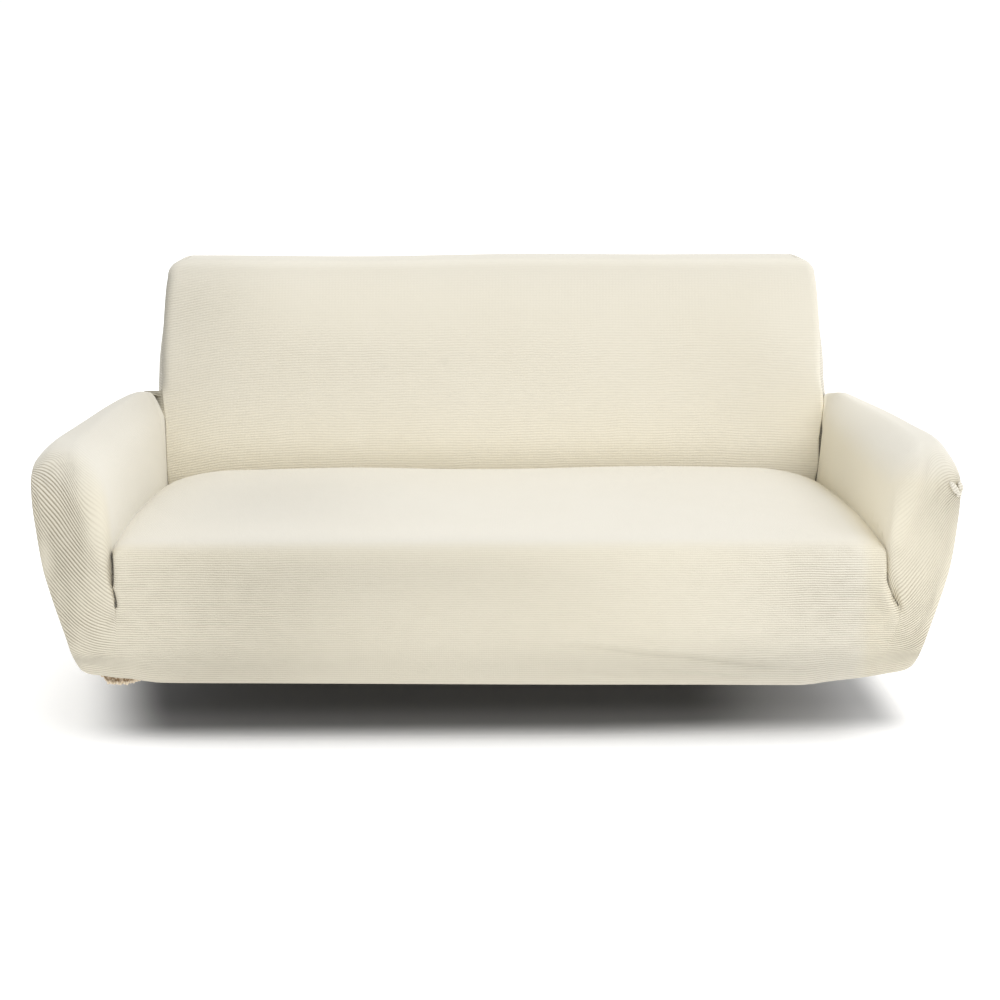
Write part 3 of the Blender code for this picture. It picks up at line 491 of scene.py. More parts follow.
def seat_points(side, t, away):
    """Points of the seat and front cloth on rows t, at distances in from a side's seam."""
    t, away = t[:, None], away[None]
    half = SEAM_X[side](t)
    away = away * half / SEAM_X[side](0)
    x = SIGN[side] * (half - away)
    on_top = ease(t, *SEAT_TURN_ROWS)
    radius = mix(*SEAM_EDGE_R, on_top) + SEAT_REAR_R * ease(t, 15.0, 18.0)
    full = quarter_round(away, radius, mix(0.5, 0.7, on_top))
    y = mix(seam_y(side, t), SEAT_Y(t), full)
    z = mix(SEAM_Z(t), SEAT_Z(t), full)
    on_seat = window(t, *MOUND_ROWS)
    mounds = sum(height * np.exp(-((x - at) / spread) ** 2) for at, height, spread in metres(SEAT_MOUNDS))
    z = z + on_seat * full * mounds
    z = z + hem_shift(x, z) + lip_wave(x, SIDE_IN(SIDE_RUN(t)))
    on_front = window(t, *BELLY_ROWS)
    y = y - FRONT_BELLY * on_front * full * (1 - (x / half) ** 2) - front_folds(side, t, away) * full
    return stack(x, y, z)


def side_points(side, row_run, top_run):
    """Points of an arm's outer side, by the run up its front corner and the run along its top seam."""
    row_run, top_run = np.asarray(row_run)[:, None], np.asarray(top_run)[None]
    _, front_y, front_z = side_seam(side, row_run)
    _, top_y, top_z = side_seam(side, top_run)
    _, corner_y, corner_z = side_seam(side, CORNER_RUN)
    up = (row_run - HEM_START) / (CORNER_RUN - HEM_START)
    along = (top_y - corner_y) / (ARM_REAR_Y - corner_y)
    y = mix(front_y, ARM_REAR_Y, along)
    z = front_z + (top_z - corner_z) * ease(up, 0.25, 1.0)
    x = outside_x(side, y, z) - SIDE_IN(row_run)
    z = z + HEM_LIFT(SIGN[side] * x) * (1 - ease(z, *HEM_FADE)) * (1 - 0.6 * along)
    z = z + lip_wave(y, SIDE_IN(row_run)) * ease(along, 0.0, 0.1)
    return stack(SIGN[side] * x, y, z)


def back_face_points(z, side, away):
    """Front of the inside back at heights z, at distances in from a side's edge."""
    z, away = z[:, None], away[None]
    half = inside_half(side, z)
    x = SIGN[side] * (half - away * half / INSIDE_HALF(TUCK_Z))
    edge = face_edge(side, z)
    full = quarter_round(half - np.abs(x), edge) * quarter_round(BACK_TOP_Z - z, FACE_TOP_R)
    crown = BACK_CROWN * (1 - (x / half) ** 2) * window(z, *CROWN_HEIGHTS)
    return stack(x, FACE_Y(z) + edge * (1 - full) - crown, z + top_wave(x, z))


def back_top_points(depth, side, away):
    """Top of the back, depth running from the front edge (0) to the rear edge (1)."""
    depth, away = depth[:, None], away[None]
    front = FACE_Y(BACK_TOP_Z) + FACE_EDGE(BACK_TOP_Z)
    x = SIGN[side] * BACK_SHOULDER_X * (1 - away / INSIDE_HALF(TUCK_Z))
    y = mix(front, rear_y(BACK_TOP_Z) - BACK_EDGE_R, depth)
    return stack(x, y, BACK_TOP_Z + top_wave(x, BACK_TOP_Z))


def strip_points(side, rows, depth):
    """Side strip of the outside back on outside_back_rows, depth running from the front (0) to rear (1)."""
    z, inward, front_x, front_y, rear_z = [column[:, None] for column in rows.T]
    depth = depth[None]
    rear_x = back_half(rear_z, OUTSIDE_HALF) - inward
    rear = rear_y(rear_z) - BACK_EDGE_R - inward
    z = mix(z, rear_z, depth)
    bulge = STRIP_BULGE(z) * np.sin(math.pi * np.minimum(depth * 1.15, 1.0))
    x = SIGN[side] * (mix(front_x, rear_x, depth) + bulge)
    y = mix(front_y, rear, depth)
    wave = lip_wave(y, inward) * ease(depth, 0.0, 0.3)
    lift = HEM_LIFT(SIGN[side] * HEM_STRIP_X) * HEM_STRIP_SHARE * (1 - depth) * (1 - ease(z, *HEM_FADE))
    return stack(x, y, z + top_wave(x, z) + wave + lift)


def rear_points(side, rows, away):
    """Rear face of the outside back at distances in from a side's edge."""
    z, inward = rows[:, 4:], rows[:, 1:2]
    away = away[None]
    half = back_half(z, OUTSIDE_HALF) - inward
    x = SIGN[side] * (half - away * half / OUTSIDE_HALF(TUCK_Z))
    full = quarter_round(half - np.abs(x), BACK_EDGE_R) * quarter_round(BACK_TOP_Z - z, BACK_EDGE_R)
    y = rear_y(z) - inward - BACK_EDGE_R * (1 - full)
    wave = lip_wave(x, inward) * ease(half - np.abs(x), 0.0, 0.03)
    return stack(x, y, z + top_wave(x, z) + wave)


# ---------------------------- grids of the five sheets
def even_places(length, step, first=0.0):
    """Places from first to length, about a step apart."""
    return np.linspace(first, length, max(int(round((length - first) / step)), 1) + 1)


def run_along(points, axis):
    """Distance run along a grid's lines in one direction, from its first line."""
    step = np.linalg.norm(np.diff(points, axis=axis), axis=-1)
    start = np.zeros_like(np.take(step, [0], axis=axis))
    return np.concatenate([start, np.cumsum(step, axis=axis)], axis=axis)


def running_sum(steps):
    """Sums of the first 0, 1, 2 and more steps."""
    return np.concatenate([[0.0], np.cumsum(steps)])


FINE_ROWS = np.linspace(0, LAST_ROW, 4000)


def steps_up(y_curve, z_curve, places=FINE_ROWS):
    return np.hypot(np.diff(y_curve(places)), np.diff(z_curve(places)))


def front_rows():
    """Rows of the front panel, spaced mainly by how fast the arm's front runs."""
    t = FINE_ROWS[1:]
    closer = 0.7 + 1.3 * (t < 3.5) + 1.6 * ((t > 3.5) & (t < 14.3))
    steps = 0.3 * steps_up(SEAT_Y, SEAT_Z) + 0.7 * steps_up(ARM_Y, ARM_Z, ARM_3(FINE_ROWS))
    run = running_sum(steps * closer)
    return np.interp(even_places(run[-1], FRONT_STEP), run, FINE_ROWS)


def rib_run(rows, closeness):
    """Run across the ribs up to each row, where the ribs lie that much closer than RIB_PITCH."""
    run = running_sum(steps_up(SEAT_Y, SEAT_Z) * closeness(FINE_ROWS[1:]))
    return np.interp(rows, FINE_ROWS, run)[:, None]


def arm_places():
    """Columns of an arm's cloth, closer beside the slit and at the outer corner."""
    a = np.linspace(0.0, 1.0, 2000)
    density = 1 + 1.2 * np.exp(-((a / 0.10) ** 2)) + 0.9 * np.exp(-(((a - 0.88) / 0.10) ** 2))
    run = running_sum(density[1:])
    return np.interp(np.linspace(0.0, run[-1], ARM_COLUMNS), run, a)


def front_panel_grids():
    rows = front_rows()
    places = arm_places()
    grids = []
    for side in SIDES:
        rib_seat, rib_arm = rib_run(rows, SEAT_RIBS[side]), rib_run(rows, ARM_RIBS[side])
        full = SEAM_X[side](0)
        middle_out = np.concatenate([SEAT_SEAM_PLACES, even_places(full, SEAT_STEP, SEAT_EVEN_FROM)])
        dart = slit_opening(side, rows)[:, None, None] * (SIGN[side], 0.0, 0.0)
        seat = seat_points(side, rows, middle_out) - dart * np.exp(-middle_out / 0.03)[None, :, None]
        arm = arm_points(side, rows, places) + dart * np.exp(-places / 0.1)[None, :, None]
        along_seat = run_along(seat[:, ::-1], 1)[:, ::-1] * SIGN[side]
        along_arm = along_seat[:, :1] + run_along(arm, 1) * SIGN[side]
        grids.append((arm, stack(along_arm, rib_arm), side == "left"))
        grids.append((seat, stack(along_seat, rib_seat), side == "right"))
    return grids


def side_panel_grids(side):
    rows = even_places(CORNER_RUN, SIDE_STEP, HEM_START)
    tops = even_places(REAR_END, SIDE_STEP, CORNER_RUN)
    points = side_points(side, rows, tops)
    return [(points, stack(run_along(points, 1), rows[:, None]), side == "left")]


def from_both_edges(left, right):
    """Grids that run in from the left and the right edge, joined in the middle."""
    return np.concatenate([left, right[:, -2::-1]], axis=1)


def edge_distances(half):
    return np.concatenate([BACK_EDGE_PLACES, even_places(half, BACK_STEP, BACK_EVEN_FROM)])


def shoulder_heights():
    return mix(SHOULDER_Z, BACK_TOP_Z, np.sin(np.linspace(0, math.pi / 2, 9)[1:]))


def inside_back_grids():
    distances = edge_distances(INSIDE_HALF(TUCK_Z))
    heights = np.concatenate([even_places(SHOULDER_Z, BACK_STEP, TUCK_Z), shoulder_heights()])
    depths = even_places(1.0, TOP_STEP)[1:]
    halves = [np.concatenate([back_face_points(heights, side, distances),
                              back_top_points(depths, side, distances)]) for side in SIDES]
    points = from_both_edges(*halves)
    knit = ribs_by_column(points)
    knit[..., 1] -= BACK_RIB_LIFT(points[..., 0])
    return [(points, knit, False)]


def ribs_by_column(points):
    """Rib places from the run up the middle column, and the run along each row from the middle."""
    middle = slice(points.shape[1] // 2, points.shape[1] // 2 + 1)
    along = run_along(points, 1)
    return stack(along - along[:, middle], run_along(points, 0)[:, middle])


def outside_back_rows(side, runs, arm_ends, heights):
    """Rows of the outside back: height in front, turned in by, the strip's front edge, height behind."""
    low = side_points(side, runs, [REAR_END])[:, 0]
    z = SIDE_Z(runs) + (low[:, 2] - SIDE_Z(runs)) * ease(runs, 0.2, CORNER_RUN)
    under = stack(z, SIDE_IN(runs), np.abs(low[:, 0]), low[:, 1], z)
    edge_x, edge_y, edge_z = split(rear_edge(side, arm_ends))
    behind = np.linspace(z[-1], ABOVE_ARMS_Z - STRIP_DROP, len(arm_ends) + 1)[1:]
    beside = stack(edge_z, 0.0, np.abs(edge_x), edge_y, behind)
    above = stack(heights, 0.0, inside_half(side, heights), face_edge_y(side, heights), heights)
    return np.concatenate([under, beside, above])


def outside_back_grids():
    runs = even_places(CORNER_RUN, BACK_STEP, HEM_START)
    heights = np.concatenate([even_places(SHOULDER_Z, BACK_STEP, ABOVE_ARMS_Z), shoulder_heights()])
    depths = even_places(1.0, STRIP_STEP)
    distances = edge_distances(OUTSIDE_HALF(TUCK_Z))[1:]
    rows = {}
    for side, last in zip(SIDES, STRIP_END):
        arm_ends = np.linspace(STRIP_START, mix(REAR_TURN, 1.0, last), ARM_END_ROWS)
        rows[side] = outside_back_rows(side, runs, arm_ends, heights)
    rear_z = (rows["left"][:, 4] + rows["right"][:, 4]) / 2
    halves = []
    for side in SIDES:
        rows[side][:, 4] = rear_z
        halves.append(np.concatenate([strip_points(side, rows[side], depths),
                                      rear_points(side, rows[side], distances)], axis=1))
    points = from_both_edges(*halves)
    return [(points, ribs_by_column(points), True)] + gusset_grids()


# Cloth that shows between the back's edge and the end of an arm, and a sheet in the deep crease, both painted
# dark as shade
GUSSET_BEHIND = 0.0005  # how far behind the back's edge it lies at the left arm's rounded end
GUSSET_WIDTH = 0.042  # and its width at the top there
CREASE_SPAN = (0.360, 0.530)  # heights of the deep crease beside the right arm
CREASE_BEHIND = 0.005  # how far behind the back's edge it lies in that crease


def gusset_points(side, heights, inner, outer, behind):
    """Points from inner to outer beside the back's edge."""
    x = inside_half(side, heights)[:, None] + mix(inner, outer[:, None], np.linspace(0.0, 1.0, 5))
    return stack(SIGN[side] * x, (face_edge_y(side, heights) + behind)[:, None], heights[:, None])


def gusset_grids():
    """Behind the left arm's rounded end, and in the deep crease beside the right arm, where a sheet painted
    dark stands for the crease's shade.
    """
    low, high = REAR_TURN_Z["left"] - 0.002, ARM_CREST_Z["left"] - 0.001
    heights, crease = np.linspace(low, high, 12), np.linspace(*CREASE_SPAN, 18)
    outer = GUSSET_WIDTH * (heights - low) / (high - low)
    left = gusset_points("left", heights, -0.001, outer, GUSSET_BEHIND)
    right = gusset_points("right", crease, -0.003, 2 * rear_crease(crease) + 0.005, CREASE_BEHIND)
    return [(left, left[..., [0, 2]], False), (right, right[..., [0, 2]], True)]


# ---------------------------- how the knit looks from place to place
PLAIN_RELIEF = 0.45  # how far the ribs stand out on the arms' outer sides and the outside back, and how dark the shade painted in their grooves is
PLAIN_WARMTH = 0.35  # and how cream the cloth is there
NOTCH_SHADE_WARMTH = 1.8  # how much warmer the shade painted in the notch behind the left arm is
BEHIND_LEFT_ARM = ((-790, 766, 575), (40, 7, 60))  # place and spread of that notch
LEFT_EDGE_DARK = 0.38  # how much darker the back's left edge is painted, as its shade
LEFT_EDGE_WIDTH = 0.0135
# the darkest the painted shade may make the cloth
DARKEST = 0.06

# Spots where the ribs, and the shade painted in their grooves, stand out more (+) or less (-), or where
# light and shade are painted lighter or darker, and two stains: place, spread each way, and amount
RELIEF_SPOTS = {
    "front_panel": (
        ((-860, 20, 420), (70, 50, 110), 0.72),
        ((-820, 20, 460), (32, 50, 80), 0.75),
        ((-874, 20, 400), (16, 50, 45), -1.0),
        ((-880, 20, 540), (55, 50, 50), 0.75),
        ((-820, 10, 260), (70, 50, 70), 0.42),
        ((-500, 0, 310), (230, 50, 90), 0.17),
        ((890, 20, 530), (40, 50, 35), 0.35),
        ((900, 20, 500), (30, 50, 50), 0.3),
        ((830, 0, 220), (60, 50, 30), 0.3),
        ((830, 20, 420), (40, 50, 60), -0.14),
        ((830, 10, 260), (70, 50, 70), 0.25),
        ((660, 0, 320), (110, 50, 80), 0.26),
    ),
    "inside_back": (
        ((-720, 780, 800), (140, 100, 70), 0.18),
        ((-350, 780, 680), (200, 100, 60), 0.1),
    ),
}
# Painted light and shade, and two small stains on the inside back
PAINTED_LIGHT_AND_STAIN_SPOTS = {
    "front_panel": (
        ((-850, 20, 340), (90, 60, 180), -0.07),
        ((-580, 0, 250), (300, 50, 180), -0.07),
        ((100, 0, 270), (550, 50, 170), -0.075),
        ((-100, 0, 280), (420, 50, 200), -0.09),
        ((-450, 0, 280), (250, 50, 220), -0.08),
        ((-250, 0, 380), (450, 50, 60), -0.1),
        ((-100, 0, 160), (750, 50, 50), -0.08),
        ((400, 0, 170), (400, 50, 50), -0.11),
        ((860, 0, 450), (90, 40, 110), -0.09),
        ((-840, 0, 450), (60, 40, 120), -0.13),
        ((-900, 20, 420), (45, 60, 170), -0.09),
        ((-860, 20, 250), (40, 60, 80), -0.09),
        ((-790, 10, 550), (55, 50, 100), -0.055),
        ((-850, 400, 600), (80, 450, 60), -0.17),
        ((-800, 650, 610), (70, 150, 50), -0.06),
        ((-500, 350, 430), (280, 300, 40), -0.12),
        ((860, 550, 600), (100, 250, 70), 0.13),
        ((750, 450, 500), (40, 300, 80), -0.05),
        ((779, 764, 565), (5, 12, 35), 0.35),
        ((764, -2, 298), (10, 20, 28), 0.07),
        ((-600, 0, 170), (250, 50, 60), -0.09),
        ((600, 0, 170), (250, 50, 50), -0.08),
        ((860, 0, 520), (70, 40, 60), -0.09),
        ((760, 150, 460), (60, 180, 80), 0.08),
    ),
    "inside_back": (
        ((-750, 790, 780), (200, 100, 200), -0.14),
        ((0, 790, 880), (1200, 100, 120), -0.055),
        ((780, 760, 500), (120, 100, 120), 0.16),
        ((777, 757, 565), (4, 20, 40), 0.5),
        ((0, 760, 460), (900, 100, 110), 0.08),
        ((450, 760, 550), (450, 100, 200), 0.05),
        # two small stains
        ((-112, 761, 671), (6, 20, 5), -0.16),
        ((-254, 761, 658), (8, 20, 6), -0.06),
    ),
    "outside_back": (
        # painted shade in the notch behind the left arm, and the crease beside the right arm painted dark as
        # shade
        (*BEHIND_LEFT_ARM, -0.6),
        ((777, 765, 430), (15, 20, 110), -1.0),
    ),
}


def blob(points, place, spread):
    """1 at a place, and less around it."""
    return np.exp(-(((points - metres(place)) / metres(spread)) ** 2).sum(-1))


def spots(table, node, points):
    """Sum of a table's spots at the points."""
    return sum((amount * blob(points, *spot) for *spot, amount in table.get(node, ())), np.zeros(len(points)))


def relief_and_groove_shade(node, points):
    """How far the ribs stand out, and how dark the shade painted in their grooves is, from 0 to 1."""
    x, y, z = split(points)
    share = 1.0
    if node == "front_panel":
        out = np.abs(x)
        inner_side = ease(z, 0.36, 0.47) * (out > 0.70)
        facing = 1 - ease(y, 0.008, 0.045)
        base = 0.09 + facing * (0.10 + 0.24 * ease(out, 0.25, 0.70)) * (1 - 0.6 * ease(z, 0.46, 0.56))
        share = mix(1.0, mix(0.15, 1.0, ease(out, 0.750, 0.845)), inner_side)
    elif node == "inside_back":
        base = 0.04 + 0.12 * (1 - ease(z, 0.68, 0.80)) + 0.12 * (1 - ease(z, 0.42, 0.60))
    else:
        base = PLAIN_RELIEF
    return np.clip((base + spots(RELIEF_SPOTS, node, points)) * share, 0.0, 1.0)


def left_edge_shade(points):
    """The back's rounded left edge is turned away from the light."""
    x, y, z = split(points)
    edge = np.exp(-((np.maximum(inside_half("left", z) + x, 0.0) / LEFT_EDGE_WIDTH) ** 2)) * (x < 0)
    return edge * window(z, *EDGE_SHADE_HEIGHTS) * (1 - ease(y, 0.80, 0.85))


def tone(node, points):
    """How light the cloth is painted, 1 as usual: painted light and shade, and two stains."""
    light = 1 + spots(PAINTED_LIGHT_AND_STAIN_SPOTS, node, points)
    if node in ("inside_back", "outside_back"):
        light = light - LEFT_EDGE_DARK * left_edge_shade(points)
    return np.maximum(light, DARKEST)


def cream_and_painted_warm_shade(node, points):
    """How much more cream than white the cloth is: its own cream, and a warm tint of shade and bounce light
    painted by place.
    """
    x, y, z = split(points)
    low = 1 - ease(z, 0.42, 0.60)
    if node == "front_panel":
        right_inner = ease(x, 0.70, 0.76) * (1 - ease(z, 0.50, 0.60))
        facing = (1 - ease(y, 0.010, 0.060)) * (1 - 0.5 * ease(z, 0.50, 0.58))
        return 0.05 + 0.85 * facing * (1 - 0.62 * ease(x, 0.20, 0.85)) + 1.1 * right_inner
    if node == "inside_back":
        return 0.45 + 0.25 * low - 0.15 * ease(z, 0.82, 0.90) - 0.35 * low * ease(x, 0.30, 0.75)
    return PLAIN_WARMTH + NOTCH_SHADE_WARMTH * (node == "outside_back") * blob(points, *BEHIND_LEFT_ARM)


# ---------------------------- creases, puckers and gathers
# Each follows its points on the cloth. height is how far it stands out, or in where it is
# negative, and width how wide it is.
FRONT_CREASES = (
    # height, width, points
    (3.6, 5.5, ((-884, 16, 570), (-872, 18, 581), (-858, 20, 588), (-832, 23, 592), (-813, 26, 594))),
    (-3.4, 5.5, ((-872, 10, 572), (-848, 14, 580), (-829, 16, 584), (-811, 18, 586))),
    (2.2, 5, ((-871, 10, 565), (-862, 6, 556), (-850, 3, 548))),
    (-2.2, 4.5, ((-878, 8, 560), (-868, 4, 546), (-862, 2, 532))),
    (-3.2, 5, ((-888, 7, 548), (-887, 4, 516), (-885, 3, 490), (-882, 2, 458))),
    (2.2, 5, ((-757, 32, 395), (-756.5, 26, 372), (-755.5, 18, 350))),
    (3.6, 5.5, ((-757, 16, 345), (-754.5, 10, 322), (-749, 4, 302))),
    (3.8, 6, ((-744, 2, 303), (-740, 0, 294), (-735, 0, 286))),
    (-3, 6.5, ((-750, 2, 285), (-762, 0, 274), (-776, 0, 260))),
    (7.5, 8, ((750, 4, 352), (750, -1, 330), (760.5, -2, 310), (771, -3, 290), (779, -3, 270))),
    (-4.5, 6.5, ((765, 6, 322), (778, 0, 304), (789, -2, 286), (796, -2, 268))),
    (-3.2, 5, ((757.6, 142, 450), (757.8, 128, 430), (756, 120, 418))),
    (2.8, 5.5, ((757.6, 130, 446), (757.8, 117, 428))),
    (-3.4, 5, ((758.2, 100, 440), (758.4, 86, 420), (756, 80, 410))),
    (3, 5.5, ((758.2, 88, 436), (758.4, 74, 416))),
    (-2.8, 5, ((758, 64, 430), (758.4, 52, 410))),
    (-4, 5.5, ((60, 0, 221), (203, 0, 214), (291, 0, 200), (367, 0, 194), (443, 0, 184), (525, 0, 174),
        (613, 0, 168), (700, 0, 168))),
    (2.6, 8, ((60, 0, 232), (203, 0, 225), (291, 0, 211), (367, 0, 205), (443, 0, 195), (525, 0, 185),
        (613, 0, 179), (700, 0, 178))),
    (2.2, 6, ((430, 0, 205), (525, 0, 190), (584, 0, 182), (660, 0, 182))),
    (-2.8, 5, ((115, 0, 163), (191, 0, 160), (261, 0, 152), (350, 0, 148), (466, 0, 146))),
    (2.2, 5.5, ((232, 0, 178), (350, 0, 168), (466, 0, 160), (560, 0, 153))),
    (3, 8, ((700, 0, 300), (722, 0, 264), (748, 0, 216), (757, 0, 180))),
    (-2.8, 6, ((868, 6, 550), (850, 4, 536), (835, 1, 518))),
    (2.8, 5.5, ((868, 6, 536), (852, 3, 518), (842, 1, 500))),
    (-2.6, 5.5, ((872, 6, 522), (864, 3, 500), (860, 1, 482))),
)


def crease_lift(points):
    """How far the creases move the front panel's points out. A crease fades towards its ends."""
    lift = np.zeros(len(points))
    for *sizes, line in FRONT_CREASES:
        (height, width), line = metres(sizes), metres(line)
        reach = running_sum(np.linalg.norm(np.diff(line, axis=0), axis=1))
        near = (np.abs(points - line.mean(0)) < np.ptp(line, axis=0) / 2 + 4 * width).all(1)
        best = np.full(near.sum(), np.inf)
        at = np.zeros(near.sum())
        for start, end, run in zip(line[:-1], line[1:], reach[:-1]):
            way = end - start
            share = np.clip((points[near] - start) @ way / (way @ way), 0.0, 1.0)
            away = np.linalg.norm(points[near] - start - share[:, None] * way, axis=1)
            at = np.where(away < best, run + share * np.linalg.norm(way), at)
            best = np.minimum(away, best)
        lift[near] += height * window(at / reach[-1], 0.0, 0.25, 0.6, 1.0) * np.exp(-((best / width) ** 2))
    return lift


# ---------------------------- meshes
def grid_quads(shape, start=0):
    """Faces of a grid of points that are numbered row by row."""
    index = np.arange(shape[0] * shape[1]).reshape(shape[:2]) + start
    return np.stack([index[:-1, :-1], index[:-1, 1:], index[1:, 1:], index[1:, :-1]], -1).reshape(-1, 4)


def sheet_mesh(name, node, grids):
    """One open mesh from grids of points, welded where their points coincide, with the knit's UV map."""
    points = np.concatenate([grid.reshape(-1, 3) for grid, _, _ in grids])
    knit = np.concatenate([uv.reshape(-1, 2) for _, uv, _ in grids])
    _, first, number = np.unique(np.round(points * 1e6).astype(np.int64), axis=0,
                                 return_index=True, return_inverse=True)
    corners, start = [], 0
    for grid, _, flip in grids:
        corners.append(grid_quads(grid.shape, start)[:, ::-1 if flip else 1])
        start += grid[..., 0].size
    corners = np.concatenate(corners)
    welded = number.ravel()[corners]
    whole = (welded != np.roll(welded, 1, axis=1)).all(axis=1)
    points = points[first]
    mesh = bpy.data.meshes.new(name)
    mesh.from_pydata(from_floor(points), [], welded[whole].tolist())
    for look in (relief_and_groove_shade, tone, cream_and_painted_warm_shade):
        values = mesh.attributes.new(look.__name__, "FLOAT", "POINT")
        values.data.foreach_set("value", look(node, points))
    if node == "front_panel":
        normals = np.empty(points.size)
        mesh.vertices.foreach_get("normal", normals)
        points = points + crease_lift(points)[:, None] * normals.reshape(-1, 3)
        mesh.vertices.foreach_set("co", from_floor(points).ravel())
    mesh.uv_layers.new(name="knit").data.foreach_set("uv", knit[corners[whole]].ravel())
    mesh.shade_smooth()
    return mesh


def from_floor(points):
    """Floor coordinates, moved to the part's own origin."""
    return np.array(points) - HOLD_POINT


def add_object(name, data, material=None):
    thing = bpy.data.objects.new(name, data)
    bpy.context.scene.collection.objects.link(thing)
    if material:
        data.materials.append(material)
    return thing


def thicken(thing, thickness, offset):
    cloth = thing.modifiers.new("cloth", "SOLIDIFY")
    cloth.thickness = thickness
    cloth.offset = offset


def add_sheet(node, grids, material):
    """A fine sheet that stands for a node: its outer face is the modelled one, thickened inwards."""
    name = node + "_knit_sheet"
    sheet = add_object(name, sheet_mesh(name, node, grids), material)
    thicken(sheet, CLOTH, -1.0)
    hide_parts(node)
    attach(sheet, "root")
    return sheet


# ---------------------------- materials
class Nodes:
    """Short calls for building the nodes of a material or the world."""

    def __init__(self, owner):
        self.tree = owner.node_tree

    def new(self, kind, **settings):
        node = self.tree.nodes.new(kind)
        for key, value in settings.items():
            setattr(node, key, value)
        return node

    def put(self, socket, value):
        if isinstance(value, bpy.types.NodeSocket):
            self.tree.links.new(value, socket)
        else:
            socket.default_value = value

    def feed(self, node, **values):
        """Link or set a node's inputs, named with _ for a space."""
        for name, value in values.items():
            self.put(node.inputs[name.replace("_", " ")], value)
        return node.outputs[0]

    def math(self, operation, *values):
        node = self.new("ShaderNodeMath", operation=operation)
        for socket, value in zip(node.inputs, values):
            self.put(socket, value)
        return node.outputs[0]

    def plus(self, a, b):
        return self.math("ADD", a, b)

    def minus(self, a, b):
        return self.math("SUBTRACT", a, b)

    def times(self, *values):
        product = values[0]
        for value in values[1:]:
            product = self.math("MULTIPLY", product, value)
        return product

    def attribute(self, name):
        return self.new("ShaderNodeAttribute", attribute_name=name).outputs["Fac"]

    def axes(self, vector):
        node = self.new("ShaderNodeSeparateXYZ")
        self.feed(node, Vector=vector)
        return node.outputs

    def object_place(self):
        return self.new("ShaderNodeTexCoord").outputs["Object"]

    def noise(self, vector, scale, detail=2.0):
        return self.feed(self.new("ShaderNodeTexNoise"), Vector=vector, Scale=scale, Detail=detail)

    def mix_color(self, share, a, b, blend="MIX"):
        node = self.new("ShaderNodeMix", data_type="RGBA", blend_type=blend)
        self.feed(node, Factor=share)
        for name, color in (("A", a), ("B", b)):
            self.feed(node, **{name: (*color, 1.0) if isinstance(color, tuple) else color})
        return node.outputs["Result"]


def new_material(name, roughness, specular):
    material = bpy.data.materials.new(name)
    material.use_nodes = True
    surface = material.node_tree.nodes["Principled BSDF"]
    n = Nodes(material)
    n.feed(surface, Roughness=roughness, Specular_IOR_Level=specular)
    return material, surface, n


CLOTH_LIGHT = (0.805, 0.778, 0.702)
CLOTH_DEEP = (0.772, 0.740, 0.655)
WARM = (1.020, 0.990, 0.900)  # how the cloth's colour changes where it is most cream, where warm shade and bounce light are painted
# colour of the shade painted into the grooves between ribs
GROOVE_PAINTED_SHADE = (0.330, 0.275, 0.180)
RIB_HEIGHT = 0.0016
RIB_DRIFT = 0.008  # how far the ribs stray
STITCH_HEIGHT = 0.00006
STITCH_LENGTH = 0.0034
FUZZ_HEIGHT = 0.00018


def knit_material():
    """Ribbed knit: rounded ribs with narrow grooves, small stitches along them, a fine fuzz, and shade
    painted into the grooves.
    """
    material, surface, n = new_material("ribbed_knit", roughness=0.9, specular=0.2)
    n.feed(surface, Sheen_Weight=0.15, Sheen_Roughness=0.5)
    knit = n.new("ShaderNodeUVMap", uv_map="knit").outputs["UV"]
    along, across, _ = n.axes(knit)

    drift = n.times(n.minus(n.noise(knit, 9.0, 1.0), 0.5), RIB_DRIFT)
    phase = n.math("DIVIDE", n.plus(across, drift), RIB_PITCH)
    rib = n.math("POWER", n.math("ABSOLUTE", n.math("SINE", n.times(phase, math.pi))), 0.8)
    stitch = n.math("SINE", n.times(along, 2 * math.pi / STITCH_LENGTH))
    depth = n.times(n.attribute("relief_and_groove_shade"), n.plus(0.6, n.times(n.noise(knit, 30.0), 0.8)))
    fine = n.plus(n.times(stitch, rib, STITCH_HEIGHT), n.times(n.noise(knit, 900.0, 3.0), FUZZ_HEIGHT))
    bump = n.new("ShaderNodeBump")
    n.feed(bump, Strength=1.0, Distance=1.0, Height=n.plus(n.times(rib, depth, RIB_HEIGHT), fine))

    base = n.mix_color(n.noise(knit, 4.0), CLOTH_LIGHT, CLOTH_DEEP)
    # the cloth's cream, with warm shade and bounce light painted in by place
    base = n.mix_color(n.attribute("cream_and_painted_warm_shade"), base, n.mix_color(1.0, base, WARM, "MULTIPLY"))
    # painted shade in the grooves, deeper where the ribs stand out more
    groove_shade = n.times(n.minus(1.0, rib), n.math("MINIMUM", depth, 1.0))
    scaled = n.new("ShaderNodeVectorMath", operation="SCALE")
    n.feed(scaled, Vector=n.mix_color(groove_shade, base, GROOVE_PAINTED_SHADE), Scale=n.attribute("tone"))
    n.feed(surface, Normal=bump.outputs["Normal"], Base_Color=scaled.outputs[0])
    return material


